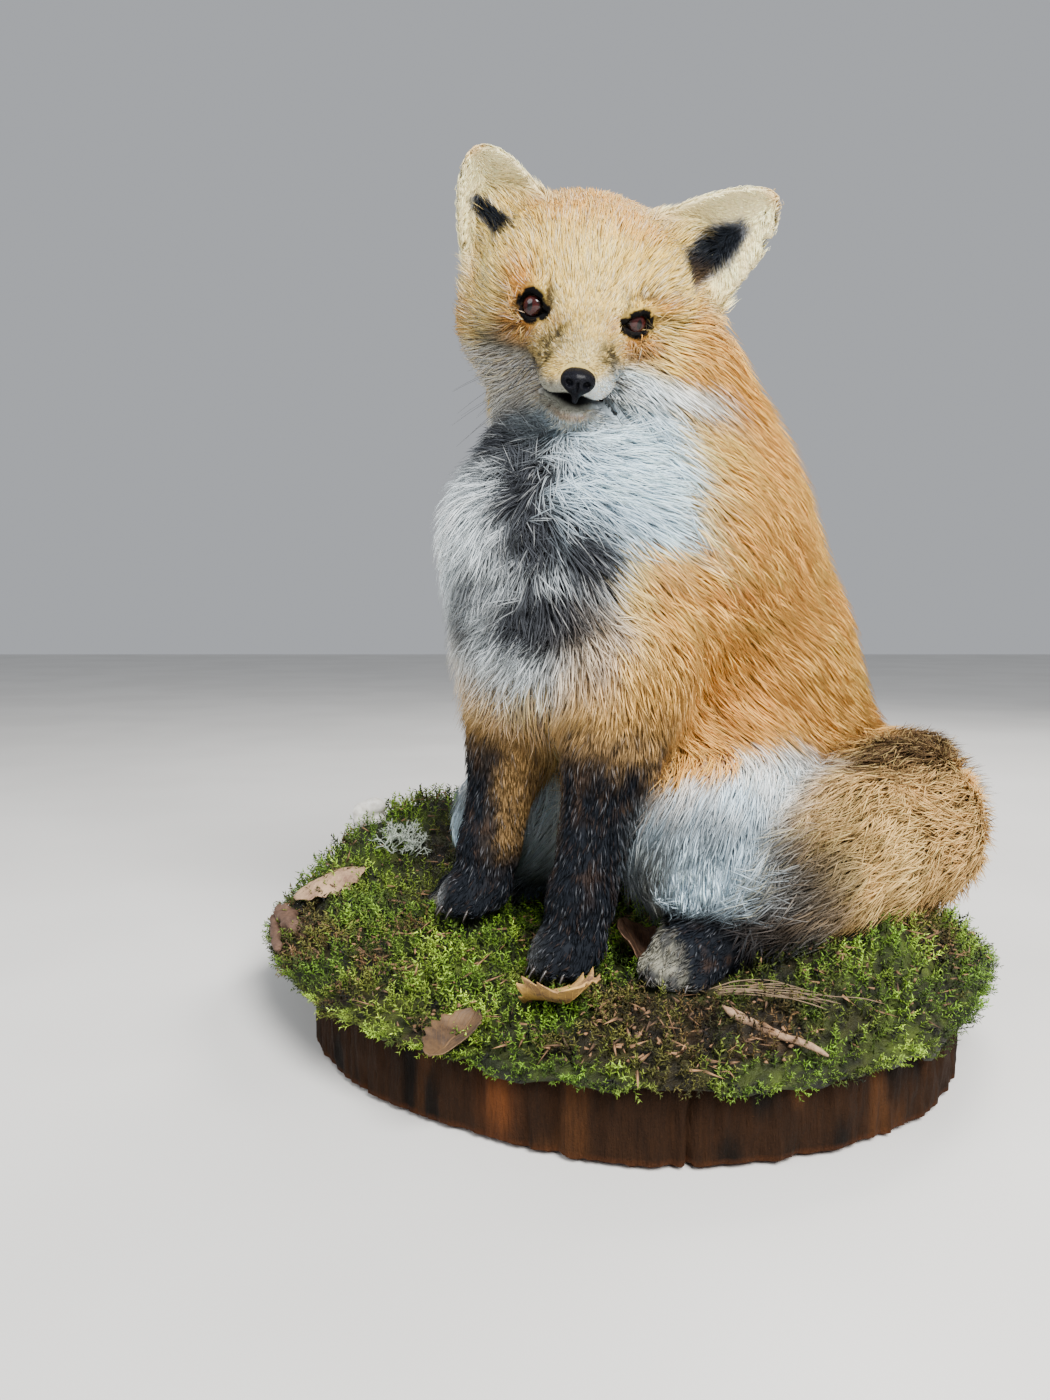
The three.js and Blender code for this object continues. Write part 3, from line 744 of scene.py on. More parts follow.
EYES = (
    Eye(1, long=7.4, high=5.4, low=4.6, frown=1.4),
    Eye(-1, long=7.6, high=6.8, low=6.3, frown=0.6),
)
NOSE_CENTRE = np.array([0.3, -90.0, -21.6])
MOUTH_DEPTH = -34.0
FAR_OFF = 300.0  # the field's value where no limb is near
HEAD_REACH = 175.0  # how far from the head's centre its ears, eyes and mouth can be


def mouth_line(x: Array) -> Array:
    """The height of the mouth's line across the muzzle, in the head's frame."""
    return MOUTH_DEPTH - 0.014 * x * x + 0.03 * (0.5 - x)


def carve_mouth(distance: Array, points: Array) -> Array:
    """The head's field with the slit of the mouth cut in it.

    Args:
        distance: The head's field at the points.
        points: World points in millimetres.

    Returns:
        The new field at the points.
    """
    q = to_head(points)
    open_side = step(q[:, 0], 20, -8)
    gap = np.abs(q[:, 2] - mouth_line(q[:, 0])) - (1.7 + 1.5 * open_side) * step(-q[:, 1], 42, 58) - 0.1
    slit = np.maximum(gap, q[:, 1] + 42)
    return smooth_max(distance, -slit, 1.0)


class Body:
    """The whole fox as one field, with the zones of its coat."""

    def __init__(self) -> None:
        """Gathers the limbs in the order in which they are joined."""
        self.limbs = [*trunk_limbs(), *neck_limbs()]
        for s in BOTH_SIDES:
            self.limbs += foreleg_limbs(s)
        for s in BOTH_SIDES:
            self.limbs += hind_foot_limbs(s)
        self.limbs += [*head_limbs(), *tail_limbs()]

    def distance(self, points: Array, margin: float = 40.0) -> Array:
        """How far points are outside the skin, negative inside.

        Args:
            points: World points in millimetres.
            margin: How far outside a limb it still counts.

        Returns:
            The distances.
        """
        total = np.full(len(points), FAR_OFF)
        for limb in self.limbs:
            near = limb.near(points, margin)
            if near.any():
                total[near] = smooth_min(total[near], limb.distance(points[near]), limb.blend)
        near_head = lengths(points - HEAD_CENTRE) < HEAD_REACH
        if near_head.any():
            some = points[near_head]
            d = total[near_head]
            for ear in EARS:
                d = smooth_min(d, ear.distance(some), 9.0)
            d = carve_mouth(d, some)
            for eye in EYES:
                d = eye.carve(d, some)
            total[near_head] = d
        return total

    def slope(self, points: Array, h: float = 0.5) -> Array:
        """The field's gradient.

        Args:
            points: World points in millimetres.
            h: How far to each side the field is read.

        Returns:
            Three parts for each point.
        """
        columns = []
        for axis in range(3):
            off = np.zeros(3)
            off[axis] = h
            columns.append((self.distance(points + off) - self.distance(points - off)) / (2 * h))
        return np.stack(columns, 1)

    def settle(self, points: Array, height: Array, most: float, rounds: int = 2) -> Array:
        """Points moved to a height over the skin, no further than `most` each round.

        Args:
            points: World points in millimetres.
            height: The wanted heights.
            most: The longest move in a round.
            rounds: How many rounds.

        Returns:
            The new points.
        """
        for _ in range(rounds):
            slope = self.slope(points)
            size = np.maximum(dots(slope, slope), 0.15)
            move = slope * ((height - self.distance(points)) / size)[:, None]
            length = np.maximum(np.linalg.norm(move, axis=1, keepdims=True), 1e-9)
            points = points + move * np.minimum(1.0, most / length)
        return points

    def weights(self, points: Array, softness: float = 6.0) -> dict[Zone, Array]:
        """How much each zone of the coat counts at points near the skin.

        Args:
            points: World points in millimetres.
            softness: How gradually one zone gives way to the next.

        Returns:
            Each zone's weights, which add up to 1.
        """
        nearest = {zone: np.full(len(points), 1e3) for zone in Zone}
        for limb in self.limbs:
            near = limb.near(points, 45)
            if near.any():
                zone = nearest[limb.zone]
                zone[near] = np.minimum(zone[near], limb.distance(points[near]))
        for ear in EARS:
            nearest[Zone.EAR] = np.minimum(nearest[Zone.EAR], ear.distance(points) + 1.5)
        least = np.minimum.reduce(list(nearest.values()))
        raw = {zone: np.exp(-(d - least) / softness) for zone, d in nearest.items()}
        total = np.sum(list(raw.values()), axis=0)
        return {zone: w / total for zone, w in raw.items()}


BODY = Body()

# ---------------------------------------------------------------- meshes from arrays


def mesh_piece(name: str, points: Array, faces: Array, uv: Optional[Array] = None,
               colours: Optional[Array] = None, smooth: bool = True,
               uv_name: str = BAKE_MAP) -> bpy.types.Object:
    """Makes an object from arrays.

    Args:
        name: The piece's name.
        points: Corners in millimetres.
        faces: Corner numbers, all faces with as many corners.
        uv: One place on the unwrap for each corner point, if any.
        colours: One linear colour for each corner point, if any.
        smooth: Whether the faces are shaded smooth.
        uv_name: The name of the map that uv goes to.

    Returns:
        The new object, at the origin.
    """
    mesh = bpy.data.meshes.new(name)
    sides = faces.shape[1]
    mesh.vertices.add(len(points))
    mesh.vertices.foreach_set("co", (points * MM).astype(np.float32).ravel())
    mesh.loops.add(faces.size)
    mesh.loops.foreach_set("vertex_index", faces.astype(np.int32).ravel())
    mesh.polygons.add(len(faces))
    mesh.polygons.foreach_set("loop_start", np.arange(0, faces.size, sides, dtype=np.int32))
    mesh.update(calc_edges=True)
    mesh.validate()
    mesh.polygons.foreach_set("use_smooth", np.full(len(mesh.polygons), smooth))
    if uv is not None:
        layer = mesh.uv_layers.new(name=uv_name)
        layer.data.foreach_set("uv", uv[faces.ravel()].astype(np.float32).ravel())
    if colours is not None:
        layer = mesh.color_attributes.new(COLOUR_LAYER, "FLOAT_COLOR", "POINT")
        full = np.concatenate([colours, np.ones((len(points), 1))], 1)
        layer.data.foreach_set("color", full.astype(np.float32).ravel())
    piece = bpy.data.objects.new(name, mesh)
    bpy.context.scene.collection.objects.link(piece)
    return piece


def settle_piece(piece: bpy.types.Object, material: bpy.types.Material,
                 nodes: Sequence[str] = ()) -> bpy.types.Object:
    """Dresses a piece, and says what it rides on and what it stands for.

    Args:
        piece: The piece.
        material: Its material.
        nodes: The CAD nodes that it stands for.

    Returns:
        The same piece.
    """
    piece.data.materials.clear()
    piece.data.materials.append(material)
    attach(piece, ROOT_BODY)
    if nodes:
        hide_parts(*nodes)
    LOG.info("%s: %d faces", piece.name, len(piece.data.polygons))
    return piece


def stops(*spans: tuple[float, float, float]) -> Array:
    """Grid places along one axis: each span has its low end, high end and step.

    Args:
        spans: The spans in order.

    Returns:
        The places.
    """
    places: list[Array] = []
    for low, high, gap in spans:
        count = max(1, round((high - low) / gap))
        places.append(np.linspace(low, high, count, endpoint=False))
    return np.concatenate([*places, [spans[-1][1]]])


def grid_points(xs: Array, ys: Array, zs: Array) -> Array:
    """All the grid's points, one row each."""
    return np.stack(np.meshgrid(xs, ys, zs, indexing="ij"), -1).reshape(-1, 3)


def grid_values(fieldfn: Callable[[Array], Array], xs: Array, ys: Array, zs: Array, skip: int) -> Array:
    """The field on a grid: exact near its surface, and copied from a sparser grid elsewhere.

    Args:
        fieldfn: The field.
        xs: The grid's places along x.
        ys: The grid's places along y.
        zs: The grid's places along z.
        skip: The sparser grid keeps one place in this many.

    Returns:
        The values, with a rim that is outside.
    """
    sparse = [np.unique(np.concatenate([a[::skip], a[-1:]])) for a in (xs, ys, zs)]
    coarse = fieldfn(grid_points(*sparse)).reshape([len(a) for a in sparse])
    nearest = [np.abs(a[:, None] - b[None, :]).argmin(1) for a, b in zip((xs, ys, zs), sparse)]
    reach = math.sqrt(sum((np.abs(a - b[n]).max()) ** 2 for a, b, n in zip((xs, ys, zs), sparse, nearest)))
    values = coarse[np.ix_(*nearest)].copy()
    wanted = np.abs(values) < reach * 1.25 + 3
    index = np.argwhere(wanted)
    points = np.stack([xs[index[:, 0]], ys[index[:, 1]], zs[index[:, 2]]], 1)
    values[wanted] = fieldfn(points)
    for axis in range(3):
        border = [slice(None)] * 3
        for end in (0, -1):
            border[axis] = end
            values[tuple(border)] = np.maximum(values[tuple(border)], 1.0)
    return values


CORNERS = np.array(list(np.ndindex(2, 2, 2)))


def facet(values: Array, xs: Array, ys: Array, zs: Array) -> tuple[Array, Array]:
    """The surface where grid values are zero, as one point in each cell that it crosses.

    Args:
        values: The field at the grid's points.
        xs: The grid's places along x.
        ys: The grid's places along y.
        zs: The grid's places along z.

    Returns:
        The points, and the quads that join them, facing outwards.
    """
    inside = values < 0
    nx, ny, nz = values.shape
    count = np.zeros((nx - 1, ny - 1, nz - 1), np.int8)
    for i, j, k in CORNERS:
        count += inside[i:nx - 1 + i, j:ny - 1 + j, k:nz - 1 + k]
    cells = np.argwhere((count > 0) & (count < 8))
    total = np.zeros((len(cells), 3))
    crossings = np.zeros(len(cells))
    for a in CORNERS:
        for axis in range(3):
            if a[axis]:
                continue
            b = a.copy()
            b[axis] = 1
            ia, ib = cells + a, cells + b
            va, vb = values[tuple(ia.T)], values[tuple(ib.T)]
            crossed = (va < 0) != (vb < 0)
            share = np.where(crossed, va / np.where(crossed, va - vb, 1), 0)[:, None]
            pa = np.stack([xs[ia[:, 0]], ys[ia[:, 1]], zs[ia[:, 2]]], 1)
            pb = np.stack([xs[ib[:, 0]], ys[ib[:, 1]], zs[ib[:, 2]]], 1)
            total += np.where(crossed[:, None], pa + (pb - pa) * share, 0)
            crossings += crossed
    points = total / crossings[:, None]
    number = np.full(count.shape, -1, np.int64)
    number[tuple(cells.T)] = np.arange(len(cells))
    quads = []
    for axis in range(3):
        low = [slice(1, -1)] * 3
        high = [slice(1, -1)] * 3
        low[axis], high[axis] = slice(0, -1), slice(1, None)
        first, second = inside[tuple(low)], inside[tuple(high)]
        edge = np.argwhere(first != second)
        starts_inside = first[tuple(edge.T)]
        offset = np.ones(3, int)
        offset[axis] = 0
        here = edge + offset
        u, v = np.zeros(3, int), np.zeros(3, int)
        u[(axis + 1) % 3] = 1
        v[(axis + 2) % 3] = 1
        ring = np.stack([number[tuple((here - shift).T)] for shift in (u + v, v, 0 * u, u)], 1)
        ring[~starts_inside] = ring[~starts_inside][:, ::-1]
        quads.append(ring)
    return points, np.concatenate(quads)


# ---------------------------------------------------------------- shader values

class Value:
    """A shader socket; arithmetic on it adds Math nodes."""

    def __init__(self, shader: "Shader", socket: bpy.types.NodeSocket) -> None:
        """Keeps the socket and the shader that it belongs to."""
        self.shader = shader
        self.socket = socket

    def math(self, operation: str, *others: Any) -> "Value":
        """A Math node on this value and others."""
        inputs = {i: other for i, other in enumerate((self, *others))}
        return self.shader.node("ShaderNodeMath", {"operation": operation}, inputs)

    def __add__(self, other: Any) -> "Value":
        """Sum."""
        return self.math("ADD", other)

    def __radd__(self, other: Any) -> "Value":
        """Sum, reflected."""
        return self.math("ADD", other)

    def __mul__(self, other: Any) -> "Value":
        """Product."""
        return self.math("MULTIPLY", other)

    def __rmul__(self, other: Any) -> "Value":
        """Product, reflected."""
        return self.math("MULTIPLY", other)

    def __sub__(self, other: Any) -> "Value":
        """Difference."""
        return self.math("SUBTRACT", other)

    def __rsub__(self, other: Any) -> "Value":
        """Difference, reflected."""
        return self.shader.node("ShaderNodeMath", {"operation": "SUBTRACT"}, {0: other, 1: self})

    def between(self, low: float, high: float) -> "Value":
        """A smooth rise from 0 at low to 1 at high.

        Args:
            low: Where the rise starts.
            high: Where it ends.

        Returns:
            The new value.
        """
        settings = {"interpolation_type": "SMOOTHSTEP"}
        inputs = {"Value": self, "From Min": low, "From Max": high}
        return self.shader.node("ShaderNodeMapRange", settings, inputs)


class Shader:
    """A material made from expressions."""

    def __init__(self, name: str) -> None:
        """Starts a material with one principled surface.

        Args:
            name: The material's name.
        """
        self.material = bpy.data.materials.new(name)
        self.material.use_nodes = True
        self.tree = self.material.node_tree
        self.surface = self.tree.nodes["Principled BSDF"]

    def node(self, kind: str, settings: dict[str, Any], inputs: dict[Any, Any], output: Any = 0) -> Value:
        """Adds a node.

        Args:
            kind: The node's type.
            settings: Its own properties, set first; "stops" fills a ramp.
            inputs: Its sockets' values, or the values linked to them.
            output: Which output is wanted.

        Returns:
            The wanted output.
        """
        made = self.tree.nodes.new(kind)
        for key, value in settings.items():
            if key == "stops":
                ramp = made.color_ramp
                while len(ramp.elements) < len(value):
                    ramp.elements.new(0.5)
                for element, (place, shade) in zip(ramp.elements, value):
                    element.position = place
                    element.color = (*shade, 1.0)
            else:
                setattr(made, key, value)
        for key, value in inputs.items():
            if isinstance(value, Value):
                self.tree.links.new(value.socket, made.inputs[key])
            else:
                made.inputs[key].default_value = value
        return Value(self, made.outputs[output])

    def place(self, scale: Sequence[float] = (1, 1, 1)) -> Value:
        """Object coordinates, stretched."""
        spot = self.node("ShaderNodeTexCoord", {}, {}, "Object")
        return self.node("ShaderNodeMapping", {}, {"Vector": spot, "Scale": scale})

    def noise(self, scale: float, detail: float = 3, rough: float = 0.55,
              where: Optional[Value] = None) -> Value:
        """Noise from 0 to 1."""
        inputs = {"Vector": where or self.place(), "Scale": scale, "Detail": detail, "Roughness": rough}
        return self.node("ShaderNodeTexNoise", {}, inputs)

    def cells(self, scale: float, where: Optional[Value] = None, feature: str = "F1") -> Value:
        """Distance to the nearest of scattered points."""
        inputs = {"Vector": where or self.place(), "Scale": scale}
        return self.node("ShaderNodeTexVoronoi", {"feature": feature}, inputs, "Distance")

    def ramp(self, value: Value, stops_list: Sequence[tuple[float, Sequence[float]]]) -> Value:
        """Colours along a value."""
        return self.node("ShaderNodeValToRGB", {"stops": stops_list}, {"Fac": value})

    def mix(self, amount: Any, first: Any, second: Any, kind: str = "MIX") -> Value:
        """One colour laid over another.

        Args:
            amount: How much of the second.
            first: The colour below.
            second: The colour over it.
            kind: How they blend.

        Returns:
            The colour.
        """
        settings = {"data_type": "RGBA", "blend_type": kind}
        inputs = {0: amount, 6: self.full(first), 7: self.full(second)}
        return self.node("ShaderNodeMix", settings, inputs, 2)

    @staticmethod
    def full(shade: Any) -> Any:
        """A colour with its alpha, or a linked value as it is."""
        return shade if isinstance(shade, Value) else (*shade[:3], 1.0)

    def layer(self, name: str) -> Value:
        """A colour layer of the mesh."""
        return self.node("ShaderNodeAttribute", {"attribute_name": name}, {}, "Color")

    def own_colour(self, tone: Value, tint: Sequence[float] = (1, 1, 1)) -> Value:
        """The mesh's own colours, made lighter and darker by a tone.

        Args:
            tone: The tone, 1 for no change.
            tint: The tone's share in each channel.

        Returns:
            The colour.
        """
        parts = {n: tone if part == 1 else tone * part for n, part in enumerate(tint)}
        shade = self.node("ShaderNodeCombineColor", {}, parts)
        return self.mix(1.0, self.layer(COLOUR_LAYER), shade, "MULTIPLY")

    def unwrap(self, name: str) -> Value:
        """A UV map of the mesh."""
        return self.node("ShaderNodeUVMap", {"uv_map": name}, {})

    def bump(self, height: Value, strength: float, distance: float) -> Value:
        """A normal from a height."""
        return self.node("ShaderNodeBump", {}, {"Strength": strength, "Distance": distance, "Height": height})

    def dress(self, **sockets: Any) -> bpy.types.Material:
        """Sets the surface's sockets, named with underscores, and returns the material.

        Args:
            sockets: Values, or values linked to them, by name.

        Returns:
            The material.
        """
        for key, value in sockets.items():
            socket = self.surface.inputs[key.replace("_", " ")]
            if isinstance(value, Value):
                self.tree.links.new(value.socket, socket)
            else:
                socket.default_value = value
        return self.material


@dataclass(frozen=True)
class FurFinish:
    """Fur or skin whose colour comes from the markings layer."""

    name: str
    roughness: float = 0.85
    streak: float = 0.2
    bump: float = 0.0

    def build(self) -> bpy.types.Material:
        """The material.

        Returns:
            The material.
        """
        s = Shader(self.name)
        fine = s.noise(900.0, 2)
        broad = s.noise(60.0, 2)
        tone = (fine - 0.5) * (2 * self.streak) + (broad - 0.5) * self.streak + 1.0
        sockets: dict[str, Any] = {
            "Base_Color": s.own_colour(tone), "Roughness": self.roughness, "Specular_IOR_Level": 0.07}
        if self.bump:
            sockets["Normal"] = s.bump(s.noise(1400.0, 3), self.bump, 0.0006)
        return s.dress(**sockets)


# ---------------------------------------------------------------- markings

STRAW = linear(0.91, 0.77, 0.38)
CREAM = linear(0.96, 0.88, 0.58)
TOE_GREY = linear(0.66, 0.65, 0.58)
EAR_CREAM = linear(0.99, 0.94, 0.74)
SAGE = linear(0.66, 0.66, 0.60)
ORANGE = linear(0.88, 0.61, 0.27)
PALE_ORANGE = linear(0.96, 0.76, 0.42)
RUST = linear(0.70, 0.43, 0.22)
TAN = linear(0.82, 0.65, 0.41)
KHAKI = linear(0.74, 0.60, 0.38)
BROWN = linear(0.32, 0.24, 0.18)
WHITE = linear(0.94, 0.98, 1.0)
BLUE_WHITE = linear(0.84, 0.94, 1.0)
SILVER = linear(0.76, 0.77, 0.77)
GREY = linear(0.46, 0.47, 0.49)
SLATE = linear(0.24, 0.25, 0.27)
BLACK = linear(0.07, 0.065, 0.07)
BLUE_BLACK = linear(0.10, 0.115, 0.14)

WHORL = at(113, 8, 326)  # the hair of the chest parts round this place
SECOND_WHORL = at(118, 24, 268)
# The bib's side edges: height over the base, and degrees round to the left and to the right.
BIB_SIDES = ((200, 30, 50), (215, 36, 66), (240, 43, 86), (267, 41, 96), (285, 46, 98), (293, 73, 98),
             (311, 71, 98), (333, 76, 102), (358, 74, 108), (400, 66, 112))
BIB_FOOT = 205.0
# The dark underfur of the chest: how strong each spot is, its place in the trunk's frame and its radii.
CHEST_SPOTS = (
    (1.0, (92, -26, 362), (44, 40, 28)), (1.0, (104, -4, 350), (34, 16, 32)),
    (1.0, (118, 6, 322), (34, 18, 26)), (0.8, (120, 18, 292), (30, 26, 24)),
    (0.9, (102, 44, 284), (30, 16, 20)), (1.0, (116, 20, 252), (40, 38, 18)),
    (0.6, (124, -24, 268), (30, 26, 12)), (0.5, (118, -40, 250), (30, 26, 18)),
)
FRINGE = 172.0  # height where the flank's orange ends over the white thigh


def bib_mask(t: Array, wobble: Array) -> Array:
    """How much of the white bib there is at places of the trunk's frame.

    Args:
        t: Places in the trunk's frame.
        wobble: Random values that make the edge uneven.

    Returns:
        From 0 to 1.
    """
    angle = np.degrees(np.arctan2(t[:, 1] - 2, t[:, 0] - 30))
    heights, lefts, rights = zip(*BIB_SIDES)
    left = np.interp(t[:, 2], heights, lefts) + 5 * wobble - angle
    right = np.interp(t[:, 2], heights, rights) + 5 * wobble + angle
    return step(np.minimum(left, right), -5, 5) * step(t[:, 2] + 6 * wobble, BIB_FOOT - 8, BIB_FOOT + 6)


def chest_dark(t: Array, wobble: Array) -> Array:
    """How much dark underfur shows through the bib at places of the trunk's frame."""
    dark = np.max([amount * blob(t, place, size) for amount, place, size in CHEST_SPOTS], 0)
    return np.clip(dark * (1.6 + 0.5 * wobble), 0, 1)


def paint_trunk(points: Array) -> Array:
    """The colours of the trunk, neck, thighs and legs.

    Args:
        points: World points in millimetres.

    Returns:
        Their linear colours.
    """
    t = to_trunk(points)
    f, l, u = t.T
    wobble = noise(points, 12, 1)
    broad = noise(points * np.array([1, 1, 0.6]), 26, 2)
    c = np.tile(ORANGE, (len(points), 1))
    c = paint(c, PALE_ORANGE, 0.6 + 0.4 * step(broad, -0.1, 0.8))
    c = paint(c, RUST, 0.25 * step(-broad, 0.15, 0.9))
    c = np.clip(c * 1.12, 0, 1)
    spine = 0.35 * step(np.abs(l), 34, 8) * step(f, 10, -40)
    c = paint(c, RUST, spine + 0.5 * blob(t, (20, 92, 200), (60, 40, 16)))
    c = paint(c, RUST, 0.75 * blob(t, (24, 80, 264), (30, 40, 7)) + 0.4 * blob(t, (0, 80, 292), (40, 40, 6)))
    # Painted light: pale orange patches on the flank and the hip stand in for light falling on them.
    light = 0.9 * blob(t, (-12, 80, 248), (24, 40, 11)) + 0.5 * blob(t, (-40, 92, 205), (34, 40, 22))
    c = paint(c, PALE_ORANGE, light)
    edge_height = np.interp(f, (-30, 30, 62, 90), (FRINGE + 6, FRINGE + 2, FRINGE - 10, FRINGE - 14))
    low = step(u - edge_height + 4 * wobble, 6, -6)
    thigh = low * step(f + 8 * wobble, -48, -22) * step(np.abs(l), 8, 30)
    belly = step(u, 190, 168) * step(np.abs(l), 62, 46) * step(f, 108, 84) * step(f, -60, -30)
    c = paint(c, BLUE_WHITE, thigh)
    c = paint(c, WHITE * 1.06, 0.8 * thigh * step(wobble, -0.7, 0.2))
    c = paint(c, CREAM * 0.8, belly * (1 - thigh))
    c = paint(c, CREAM, np.clip(bib_mask(t, wobble + 1.6), 0, 1) * 0.8)
    bib = bib_mask(t, wobble)
    c = paint(c, WHITE, bib)
    # Painted light: on the fox's left, the lit side, the bib's white is painted bluish as cool light.
    c = paint(c, BLUE_WHITE, bib * step(l, 8, 40) * step(u, 262, 300))
    return paint(c, SLATE, bib * chest_dark(t, wobble))


def paint_legs(points: Array) -> Array:
    """The colours of the forelegs and paws.

    Args:
        points: World points in millimetres.

    Returns:
        Their linear colours.
    """
    t = to_trunk(points)
    f, l, u = t.T
    wobble = noise(points, 7, 5)
    c = np.tile(PALE_ORANGE * 0.9, (len(points), 1))
    c = paint(c, TAN * 0.72, step(u + 6 * wobble, 212, 190))
    inner = step(l, -34, -24) * step(l, 0, -10) * step(u, 108, 130)
    inner = np.maximum(inner, 0.8 * step(l, 34, 24) * step(l, 0, 10) * step(u, 122, 146))
    black = step(u + 20 * wobble, 206, 164) * (1 - 0.9 * inner * (0.7 + 0.3 * wobble))
    shin = step(f + 4 * wobble, 104, 114) * step(np.abs(l), 6, 12) * step(u, 200, 176)
    black = np.maximum(black, 0.96 * shin)
    c = paint(c, TAN * 0.8, step(wobble, 0.1, 0.8) * (1 - black))
    c = paint(c, BLUE_BLACK, black)
    c = paint(c, BROWN, 0.5 * black * step(wobble, 0.2, 0.9) * step(u, 90, 130))
    toe = blob(t, (122, 30, 74), (12, 7, 9)) + 0.8 * blob(t, (128, -57, 90), (10, 7, 8))
    return paint(c, SILVER, toe)


def paint_hind(points: Array) -> Array:
    """The colours of the hind feet.

    Args:
        points: World points in millimetres.

    Returns:
        Their linear colours.
    """
    t = to_trunk(points)
    f, l, u = t.T
    wobble = noise(points, 6, 7)
    c = np.tile(BLUE_WHITE * 0.9, (len(points), 1))
    c = paint(c, GREY * 0.8, 0.8 * step(f, 40, 20) * step(u + 4 * wobble, 112, 100))
    c = paint(c, BLUE_BLACK, step(u + 3 * wobble, 106, 98) * step(f + 4 * wobble, 34, 56))
    c = paint(c, BROWN, 0.4 * step(wobble, 0.1, 0.8) * step(u, 98, 90))
    toes = step(f + 4 * wobble - 0.5 * (np.abs(l) - 88), 88, 97)
    toes = np.maximum(toes, step(np.abs(l) + 3 * wobble, 74, 68) * step(f, 56, 66))
    c = paint(c, TOE_GREY * 0.72, 0.9 * toes)
    return paint(c, SLATE * 0.8, 0.85 * toes * step(wobble, -0.25, 0.35))


def paint_tail(points: Array) -> Array:
    """The colours of the tail.

    Args:
        points: World points in millimetres.

    Returns:
        Their linear colours.
    """
    t = to_trunk(points)
    f, l, u = t.T
    wobble = noise(points, 11, 9)
    broad = noise(points, 24, 10)
    c = np.tile(KHAKI, (len(points), 1))
    c = paint(c, TAN, step(broad, -0.2, 0.7))
    c = paint(c * 1.2, BROWN * 2.0, 0.3 * step(-broad, 0.3, 0.9) + 0.35 * step(u, 114, 90))
    c = paint(c, ORANGE * 0.8, 0.5 * step(f, -120, -150) * step(l, 70, 20))
    c = paint(c, CREAM * 0.82, 0.75 * blob(t, (2, 146, 124), (28, 26, 22)) * step(wobble, -0.8, 0.3))
    c = paint(c, BROWN, 0.8 * tail_fringe(t, wobble))
    return paint(c, SLATE * 0.8, 0.9 * step(f + 8 * wobble, 22, 46))


def tail_fringe(t: Array, wobble: Array) -> Array:
    """How dark the tail's outer edge is: its top and the side away from the legs.

    Args:
        t: Places in the trunk's frame.
        wobble: Random values that make the edge uneven.

    Returns:
        From 0 to 1.
    """
    f, _, u = t.T
    top = step(u + 5 * wobble, 162, 178) * step(f, 16, -34)
    bend = step(-f + 6 * wobble, 112, 150)
    return np.maximum(top, bend)


